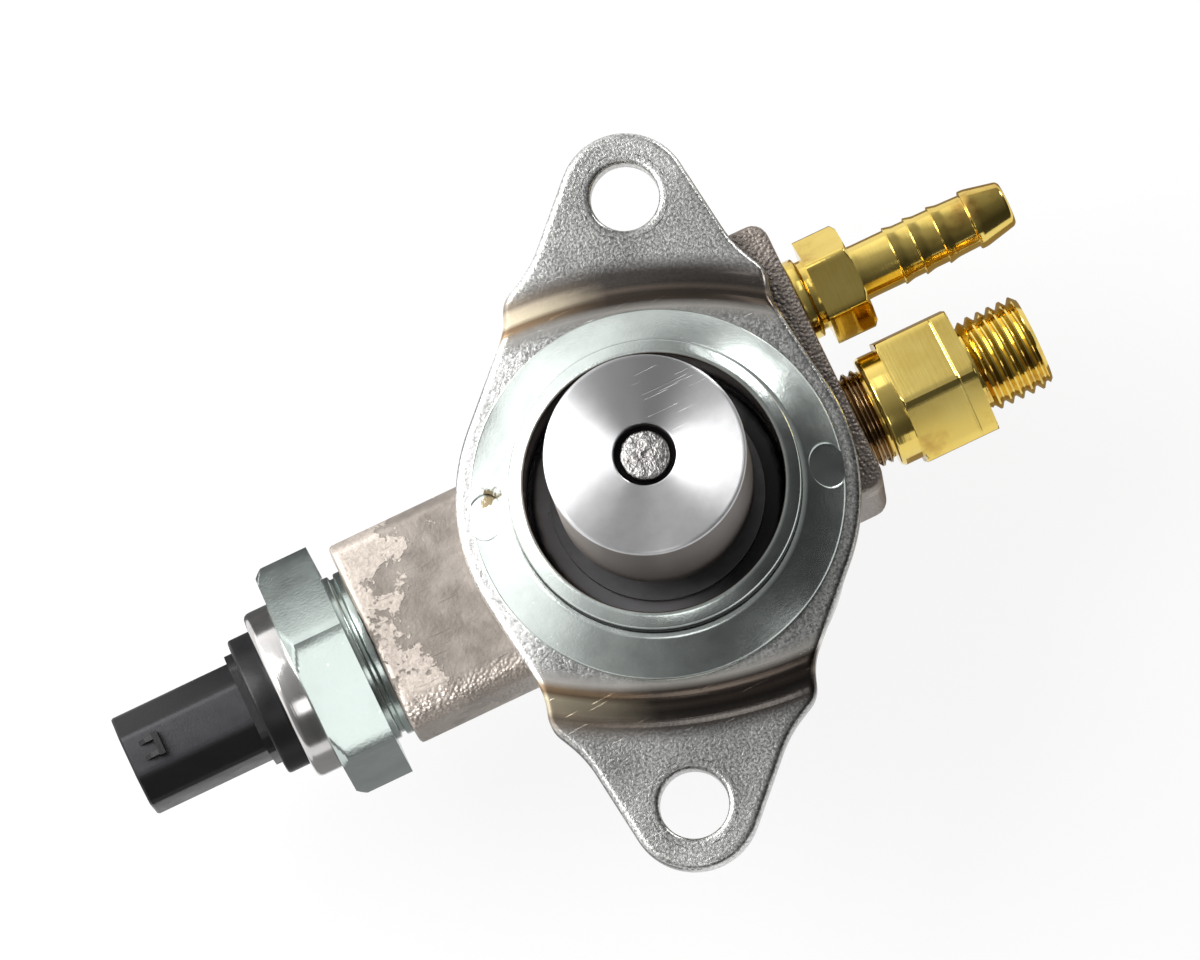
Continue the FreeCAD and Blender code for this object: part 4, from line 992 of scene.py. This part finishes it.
# %% Turned steel finish
def turned_finish(name, axis, centre, colour, rough, gap=0.0, stretch=0.85, marked=None, wall=None,
                  painted_shade_side=None):
    material, tree, shader = finish(name, colour, 1.0, rough, Anisotropic=stretch, Anisotropic_Rotation=0.25)
    tangent = add(tree, "ShaderNodeTangent", direction_type="RADIAL", axis=axis)
    tree.links.new(tangent.outputs[0], shader.inputs["Tangent"])
    vector = place_vector(tree)
    radius, along = turned_place(tree, vector, axis, centre)
    line = flat_xy(tree, times(tree, radius, 2600.0), times(tree, along, 2600.0))
    rings = noise(tree, line, 1.0, 2.0, 0.6)
    wear = noise(tree, vector, 260.0, 4.0, 0.6)
    tone = ramp(tree, wear, [(0.3, tuple(c * 0.86 for c in colour)), (0.6, colour)])
    # Painted shade: the steel is made darker towards one given side.
    if painted_shade_side:
        part = math_node(tree, "DIVIDE", toward(tree, vector, painted_shade_side), plus(tree, radius, 0.0001))
        tone = blend(tree, scaled(tree, part, 1.6, -0.75, clamp=True), tone, (0.40, 0.40, 0.405))
    # Painted shade: inside the gap radius round the plunger's tip the steel is made near black.
    dark = scaled(tree, radius, -9000.0, 9000.0 * gap * MM, clamp=True)
    # Painted shade and painted reflection: below the given height the wall is made dark brown.
    if wall:
        below = scaled(tree, along, -4000.0, 4000.0 * wall * MM, clamp=True)
        tone = blend(tree, below, tone, (0.25, 0.225, 0.21))
    coat(tree, shader, blend(tree, dark, tone, (0.02, 0.018, 0.018)), scaled(tree, rings, 0.08, rough - 0.04))
    hair = scratches(tree, vector, 1.2, 0.70)
    if marked:
        span, _ = turned_place(tree, vector, "Z", marked)
        hair = times(tree, hair, scaled(tree, span, -700.0, 3.4, clamp=True))
    height = scaled(tree, hair, -1.6, rings)
    bump(tree, shader, height, 0.000014, 0.8)
    return material


# %% [markdown]
# The plunger's tip is cropped and bruised rather than turned. A coarse and a
# fine noise together make its face look hammered.

# %% Bruised tip finish
def bruised_finish():
    material, tree, shader = finish("bruised_steel", (0.60, 0.59, 0.58), 1.0, 0.28)
    vector = place_vector(tree)
    dents = noise(tree, vector, 900.0, 4.0, 0.7)
    coat(tree, shader, ramp(tree, dents, [(0.35, (0.20, 0.19, 0.185)), (0.62, (0.42, 0.41, 0.40))]))
    bump(tree, shader, dents, 0.0004, 0.9)
    return material


# %% [markdown]
# Brass: cut from bar and left bright, lemon rather than gold, with a hint of
# darker tarnish in patches and tool marks round the axis of each port.

# %% Brass finish
def brass_finish(name, centre, shaded_root_end, score=None):
    material, tree, shader = finish(name, (0.80, 0.64, 0.22), 1.0, 0.16)
    vector = place_vector(tree)
    stain = noise(tree, vector, 170.0, 4.0, 0.6)
    radius, along = turned_place(tree, vector, "X", centre)
    line = flat_xy(tree, times(tree, along, 2400.0), times(tree, radius, 600.0))
    marks = noise(tree, line, 1.0, 2.0, 0.6)
    body = ramp(tree, stain, [
        (0.26, (0.54, 0.33, 0.08)), (0.42, (0.80, 0.59, 0.15)), (0.7, (0.88, 0.68, 0.20))])
    # Painted shade: towards its root at the body the brass is made dark brown.
    root = scaled(tree, along, -2500.0, 2500.0 * shaded_root_end * MM, clamp=True)
    tone = blend(tree, times(tree, root, 0.85), body, (0.24, 0.15, 0.10))
    coat(tree, shader, tone, scaled(tree, stain, 0.14, 0.06))
    if score:
        off = math_node(tree, "ABSOLUTE", math_node(tree, "SUBTRACT", along, score * MM))
        line = scaled(tree, off, -9000.0, 1.6, clamp=True)
        marks = scaled(tree, line, -9.0, marks)
    bump(tree, shader, marks, 0.00001, 0.7)
    return material


# %% [markdown]
# Black plastic: glass filled, with a fine moulded tooth. Its upward facing
# top panel is made violet grey, patchy by a noise: a painted sheen.

# %% Plastic finish
def plastic_finish():
    material, tree, shader = finish("black_moulding", (0.016, 0.016, 0.018), 0.0, 0.36,
                                    Specular_IOR_Level=0.3)
    vector = place_vector(tree)
    # Painted sheen: the upward facing top panel is made violet grey, patchy by a noise.
    geometry = tree.nodes.new("ShaderNodeNewGeometry")
    top = scaled(tree, split_xyz(tree, geometry.outputs["Normal"])[2], 12.0, -11.2, clamp=True)
    panel_top = (PORT_Z + 6.7) * MM
    low = scaled(tree, split_xyz(tree, vector)[2], -4000.0, 4000.0 * panel_top, clamp=True)
    top = times(tree, top, low)
    scuff = noise(tree, vector, 420.0, 5.0, 0.65)
    share = times(tree, top, scaled(tree, scuff, 0.5, 0.3))
    tone = blend(tree, share, (0.010, 0.010, 0.011), (0.105, 0.098, 0.115))
    coat(tree, shader, tone, scaled(tree, scuff, 0.2, 0.26))
    tooth = noise(tree, vector, 3600.0, 2.0, 0.5)
    bump(tree, shader, scaled(tree, scuff, 1.5, tooth), 0.00002, 0.6)
    return material


# %% [markdown]
# The hidden pieces get plainer finishes that still vary: wire, rubber, seal
# polymer, copper winding and tinned blades. One helper makes them from a
# colour, a grain size and a gloss.

# %% Plain finishes
def plain_finish(name, colour, metal, rough, grain, depth):
    material, tree, shader = finish(name, colour, metal, rough)
    vector = place_vector(tree)
    tone = noise(tree, vector, grain * 0.2, 3.0, 0.6)
    coat(tree, shader, ramp(tree, tone, [(0.3, tuple(c * 0.75 for c in colour)), (0.7, colour)]))
    bump(tree, shader, noise(tree, vector, grain, 2.0, 0.5), depth, 0.6)
    return material


nickel = plate_finish()
cast = cast_finish()
ZINC_TONE = (0.66, 0.715, 0.685)
zinc_collar = zinc_finish("zinc_collar", ZINC_TONE, 15.95, (-18.5, 8.1, 0))
zinc_nut = zinc_finish("zinc_nut", (0.55, 0.615, 0.585), 0.0)
drawn_steel = zinc_finish("drawn_steel", (0.56, 0.55, 0.53), 0.0)
# The cup is painted darker on one side, near black in its hole and dark brown on its wall: painted shade,
# with painted reflection on the wall.
steel_cup = turned_finish("turned_cup", "Z", (0, 0, 0), (0.78, 0.78, 0.79), 0.36, 3.74, 0.9, (5.8, 5.6, 0),
                          28.7, PHOTO_UP)
steel_z = turned_finish("turned_steel_up", "Z", (0, 0, 0), (0.62, 0.61, 0.60), 0.3)
steel_x = turned_finish("turned_steel_along", "X", (0, 0, PORT_Z), (0.70, 0.68, 0.67), 0.16, stretch=0.0,
                        marked=(500, 0, 0))
bruised = bruised_finish()
brass_out = brass_finish("brass_outlet", (0, 0, PORT_Z), 28.75, 39.1)
brass_in = brass_finish("brass_inlet", (0, INLET_Y, PORT_Z), 25.5)
plastic = plastic_finish()
wire = plain_finish("spring_wire", (0.07, 0.07, 0.075), 1.0, 0.32, 2400.0, 0.00001)
# Painted shade: a darker steel for the pieces deep in the bore.
painted_shade_steel = plain_finish("bore_steel_painted_shade", (0.17, 0.165, 0.17), 0.7, 0.34, 1800.0, 0.00001)
rubber = plain_finish("sealing_rubber", (0.012, 0.012, 0.013), 0.0, 0.5, 2400.0, 0.00003)
polymer = plain_finish("seal_polymer", (0.62, 0.56, 0.46), 0.0, 0.45, 1800.0, 0.00002)
moulding = plain_finish("bobbin_moulding", (0.20, 0.17, 0.14), 0.0, 0.5, 1800.0, 0.00002)
copper = plain_finish("winding_copper", (0.72, 0.36, 0.18), 1.0, 0.3, 2600.0, 0.00005)
tin = plain_finish("tinned_blade", (0.76, 0.75, 0.72), 1.0, 0.28, 2400.0, 0.00001)

# %% [markdown]
# The return spring and the relief spring shorten when their pieces move,
# and a solid can't do that. Each is drawn again as the same round wire on
# the same helix.

# %% Springs drawn again as wire
WIRE_SIDES = 12
TURN_STEPS = 40


def working_spring(name, node, wire, turns):
    solid = bpy.data.objects[node]
    corners = [solid.matrix_world @ Vector(corner) for corner in solid.bound_box]
    low, high = (Vector(side(c[k] for c in corners) for k in range(3)) for side in (min, max))
    middle = (low + high) / 2
    coil_rad = (high.x - low.x) / 2 - wire
    climb = (high.z - low.z - 2 * wire) / turns
    verts, steps = [], int(turns * TURN_STEPS) + 1
    for step in range(steps):
        part = step / (steps - 1) * turns
        turn = part * 2 * math.pi
        out = Vector((math.cos(turn), math.sin(turn), 0))
        along = Vector((-out.y * coil_rad, out.x * coil_rad, climb / (2 * math.pi))).normalized()
        core = Vector((middle.x, middle.y, low.z + wire + climb * part)) + out * coil_rad
        for side in range(WIRE_SIDES):
            around = side / WIRE_SIDES * 2 * math.pi
            verts.append(core + (out * math.cos(around) + along.cross(out) * math.sin(around)) * wire)
    faces = grid_faces(steps, WIRE_SIDES)
    faces.append(tuple(range(WIRE_SIDES)))
    faces.append(tuple(range(len(verts) - 1, len(verts) - 1 - WIRE_SIDES, -1)))
    coil = piece(name, verts, faces, "pump", node)
    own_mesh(coil)
    return coil


return_coil = working_spring("return_coil", "plunger_spring", 1.15 * MM, 5.5)
relief_coil = working_spring("relief_coil", "relief_valve_spring", 0.22 * MM, 4.0)

# %% [markdown]
# Every carried-over solid takes the finish of its slot. A few pieces that are
# turned along the arm get a finish of their own, and the two deep in the
# bore a darker steel as painted shade.

# %% Hand the finishes out
BY_SLOT = {
    "plate_steel": nickel, "cast_body": cast, "turned_steel": steel_z, "zinc": zinc_nut,
    "spring_steel": wire, "brass": brass_out, "black_rubber": rubber, "seal_polymer": polymer,
    "black_plastic": plastic, "bobbin_plastic": moulding, "copper": copper, "terminal_tin": tin}


def dress(item, material):
    item.data.materials.clear()
    item.data.materials.append(material)


for row in frame["record"]["subparts"]:
    dress(bpy.data.objects[row["node"]], BY_SLOT[row["material_slot"]])
for node in ("inlet_valve_needle", "inlet_valve_seat", "armature", "armature_sleeve", "solenoid_core",
             "outlet_valve_seat", "outlet_valve_ball", "inlet_strainer"):
    dress(bpy.data.objects[node], steel_x)
for node in ("seal_carrier", "cylinder_sleeve"):
    dress(bpy.data.objects[node], painted_shade_steel)
for item, material in ((plate, nickel), (collar, zinc_collar), (cup, steel_cup), (tip, bruised),
                       (housing, zinc_nut), (cap_ring, steel_x), (plug, plastic), (union, brass_out),
                       (barb, brass_in), (casting, cast), (cover, drawn_steel), (return_coil, wire),
                       (relief_coil, wire)):
    dress(item, material)

# %% [markdown]
# The pump lies on its damper cover on a pale table. The table shows white to
# the eye and in the metal's reflections, and keeps the pump's soft shadow.

# %% Table
FLOOR_Z = CAD_BOX[0][2]
REACH = 1.5
table_mesh = bpy.data.meshes.new("table_top")
table_mesh.from_pydata([(-REACH, -REACH, FLOOR_Z), (REACH, -REACH, FLOOR_Z), (REACH, REACH, FLOOR_Z),
                        (-REACH, REACH, FLOOR_Z)], [], [(0, 1, 2, 3)])
table = on_stage("table_top", table_mesh)


def shown_white(tree):
    """True for the rays that should meet a white background: sight, mirror and clear."""
    paths = tree.nodes.new("ShaderNodeLightPath")
    sight = math_node(tree, "MAXIMUM", paths.outputs["Is Camera Ray"], paths.outputs["Is Glossy Ray"])
    return math_node(tree, "MAXIMUM", sight, paths.outputs["Is Transmission Ray"])


paper = bpy.data.materials.new("white_paper")
paper.use_nodes = True
tree = paper.node_tree
shader = tree.nodes["Principled BSDF"]
shader.inputs["Base Color"].default_value = (0.88, 0.88, 0.88, 1)
shader.inputs["Roughness"].default_value = 0.9
glow = add(tree, "ShaderNodeEmission", in_Strength=1.0)
glow.inputs["Color"].default_value = (1, 1, 1, 1)
mix = tree.nodes.new("ShaderNodeMixShader")
tree.links.new(times(tree, shown_white(tree), 0.88), mix.inputs[0])
tree.links.new(shader.outputs[0], mix.inputs[1])
tree.links.new(glow.outputs[0], mix.inputs[2])
tree.links.new(mix.outputs[0], tree.nodes["Material Output"].inputs["Surface"])
dress(table, paper)

# %% [markdown]
# The world lights evenly from all sides, a little dimmer than it looks, so
# the pump's own shadow stays on the table.

# %% World
world = bpy.data.worlds.new("studio")
bpy.context.scene.world = world
world.use_nodes = True
tree = world.node_tree
background = tree.nodes["Background"]
tree.links.new(blend(tree, shown_white(tree), (0.6, 0.6, 0.6), (1.0, 1.0, 1.0)), background.inputs["Color"])
background.inputs["Strength"].default_value = 1.0

# %% [markdown]
# Bright metal only looks like metal when it has dark as well as bright to
# mirror. A product photographer hangs a tent of cloth over such a part, lit
# from one side, with the other side left in shade. The tent here is half a
# globe whose cloth glows by where it hangs: strong on the side that is bright
# in the photograph, weaker overhead, and faint low down on the far side. The
# camera looks through it, as through the hole that is cut for the lens.

# %% Light tent
TENT_RADIUS = 1.4
BRIGHT_SIDE = (-0.775, 0.631, 0.0)


def glowing(name):
    """A material that only sends out light, and its emission node."""
    material = bpy.data.materials.new(name)
    material.use_nodes = True
    tree = material.node_tree
    tree.nodes.remove(tree.nodes["Principled BSDF"])
    glow = tree.nodes.new("ShaderNodeEmission")
    tree.links.new(glow.outputs[0], tree.nodes["Material Output"].inputs["Surface"])
    return material, tree, glow


def light_tent():
    verts = []
    rows = 20
    turns = 64
    for row in range(rows + 1):
        lift = math.pi / 2 * row / rows
        for step in range(turns):
            angle = 2 * math.pi * step / turns
            verts.append((TENT_RADIUS * math.cos(lift) * math.cos(angle),
                          TENT_RADIUS * math.cos(lift) * math.sin(angle),
                          FLOOR_Z + 0.002 + TENT_RADIUS * math.sin(lift)))
    mesh = bpy.data.meshes.new("light_tent")
    mesh.from_pydata(verts, [], grid_faces(rows + 1, turns))
    tent = on_stage("light_tent", mesh)
    tent.visible_camera = False
    tent.visible_shadow = False
    cloth, tree, glow = glowing("tent_cloth")
    spot = add(tree, "ShaderNodeVectorMath", operation="NORMALIZE")
    tree.links.new(place_vector(tree), spot.inputs[0])
    sideways = toward(tree, spot.outputs[0], BRIGHT_SIDE)
    side = ramp(tree, scaled(tree, sideways, 0.5, 0.5),
                [(0.10, (0.05,)), (0.36, (0.16,)), (0.5, (0.31,)), (0.64, (0.42,)), (0.74, (1.0,))])
    upper = ramp(tree, toward(tree, spot.outputs[0], (0, 0, 1)), [
        (0.0, WHOLLY), (0.55, (0.8,)), (0.80, WHOLLY)])
    bright = scaled(tree, sideways, 3.0, -1.2, clamp=True)
    tree.links.new(scaled(tree, bright, 0.6, 1.0), glow.inputs["Strength"])
    tree.links.new(multiplied(tree, side, upper), glow.inputs["Color"])
    dress(tent, cloth)


light_tent()

# %% [markdown]
# A lamp is a square cloth that faces its aim. A card is a glowing quad that
# only mirrors show.

# %% Lamp and card
def soft_lamp(name, spot, aim, size, power):
    data = bpy.data.lights.new(name, "AREA")
    data.shape = "SQUARE"
    data.size = size
    data.energy = power
    lamp = on_stage(name, data)
    lamp.location = spot
    lamp.rotation_euler = (Vector(aim) - Vector(spot)).to_track_quat("-Z", "Y").to_euler()


def glow_card(name, corners, strength, colour=(1, 1, 1)):
    mesh = bpy.data.meshes.new(name)
    mesh.from_pydata(corners, [], [(0, 1, 2, 3)])
    card = on_stage(name, mesh)
    card.visible_camera = False
    card.visible_shadow = False
    card.visible_diffuse = False
    light, _, glow = glowing(name)
    glow.inputs["Strength"].default_value = strength
    glow.inputs["Color"].default_value = colour + (1,)
    dress(card, light)


def upright(x, wide, y, low, high):
    return [(x, y, low), (x + wide, y, low), (x + wide, y, high), (x, y, high)]


def lying(x, wide, y, deep, z):
    return [(x, y, z), (x + wide, y, z), (x + wide, y + deep, z), (x, y + deep, z)]


# %% [markdown]
# Metal shows what stands around it, so a few cards stand just outside the
# picture. Pale ones put light into the brass and dull ones put shade into
# the nut. They cast no shadow and light nothing that is matt.

# %% Cards
glow_card("port_card", upright(0.031, 0.054, -0.14, -0.035, 0.032), 1.0)
glow_card("port_strip", [(0.0290, 0.041, 0.019), (0.0325, 0.041, 0.019), (0.0325, 0.027, 0.033),
                         (0.0290, 0.027, 0.033)], 1.9)
glow_card("port_mat", lying(0.03, 0.06, -0.03, 0.09, -0.038), 0.30, (1.0, 0.78, 0.50))
glow_card("nut_flag", upright(-0.064, 0.034, 0.05, -0.037, 0.003), 0.14)
glow_card("nut_mat", lying(-0.064, 0.034, 0.016, 0.034, -0.037), 0.12)
glow_card("side_mat", lying(-0.080, 0.055, -0.10, 0.085, -0.038), 0.3)

# %% [markdown]
# Three small lamps: the key gives the turned cup its bow tie and the collar
# its bright left side, one picks out the hexagon's middle flat, and a low
# one lifts the far corner of the body.

# %% Lamps in place
soft_lamp("key_box", (-0.235, 0.187, 0.30), (-0.02, 0, 0), 0.30, 2.4)
soft_lamp("hex_box", (-0.043, -0.17, 0.25), (-0.045, 0, 0), 0.09, 0.05)
soft_lamp("corner_box", (0.42, 0.30, 0.16), (0, 0, 0), 0.14, 0.8)

# %% [markdown]
# The camera stands where the photographer did: almost straight over the
# pump, leaning back a little, with the picture turned about its own centre.
# Its place comes from fitting the known circles and holes to the picture.

# %% Camera
RIGHT = Vector((0.90318, -0.42442, -0.06429))
UP = Vector((0.42886, 0.88574, 0.17759))
BACK = Vector((-0.01843, -0.18796, 0.982))
camera_data = bpy.data.cameras.new("photo_camera")
camera_data.sensor_width = 36.0
camera_data.lens = 248.54
camera_data.clip_start = 0.05
camera_data.clip_end = 20.0
camera = on_stage("photo_camera", camera_data)
turn = Matrix((RIGHT, UP, BACK)).transposed().to_4x4()
camera.matrix_world = Matrix.Translation(Vector((-0.023925, -0.183062, 0.982838))) @ turn
bpy.context.scene.camera = camera
bpy.context.scene.view_settings.view_transform = "Standard"
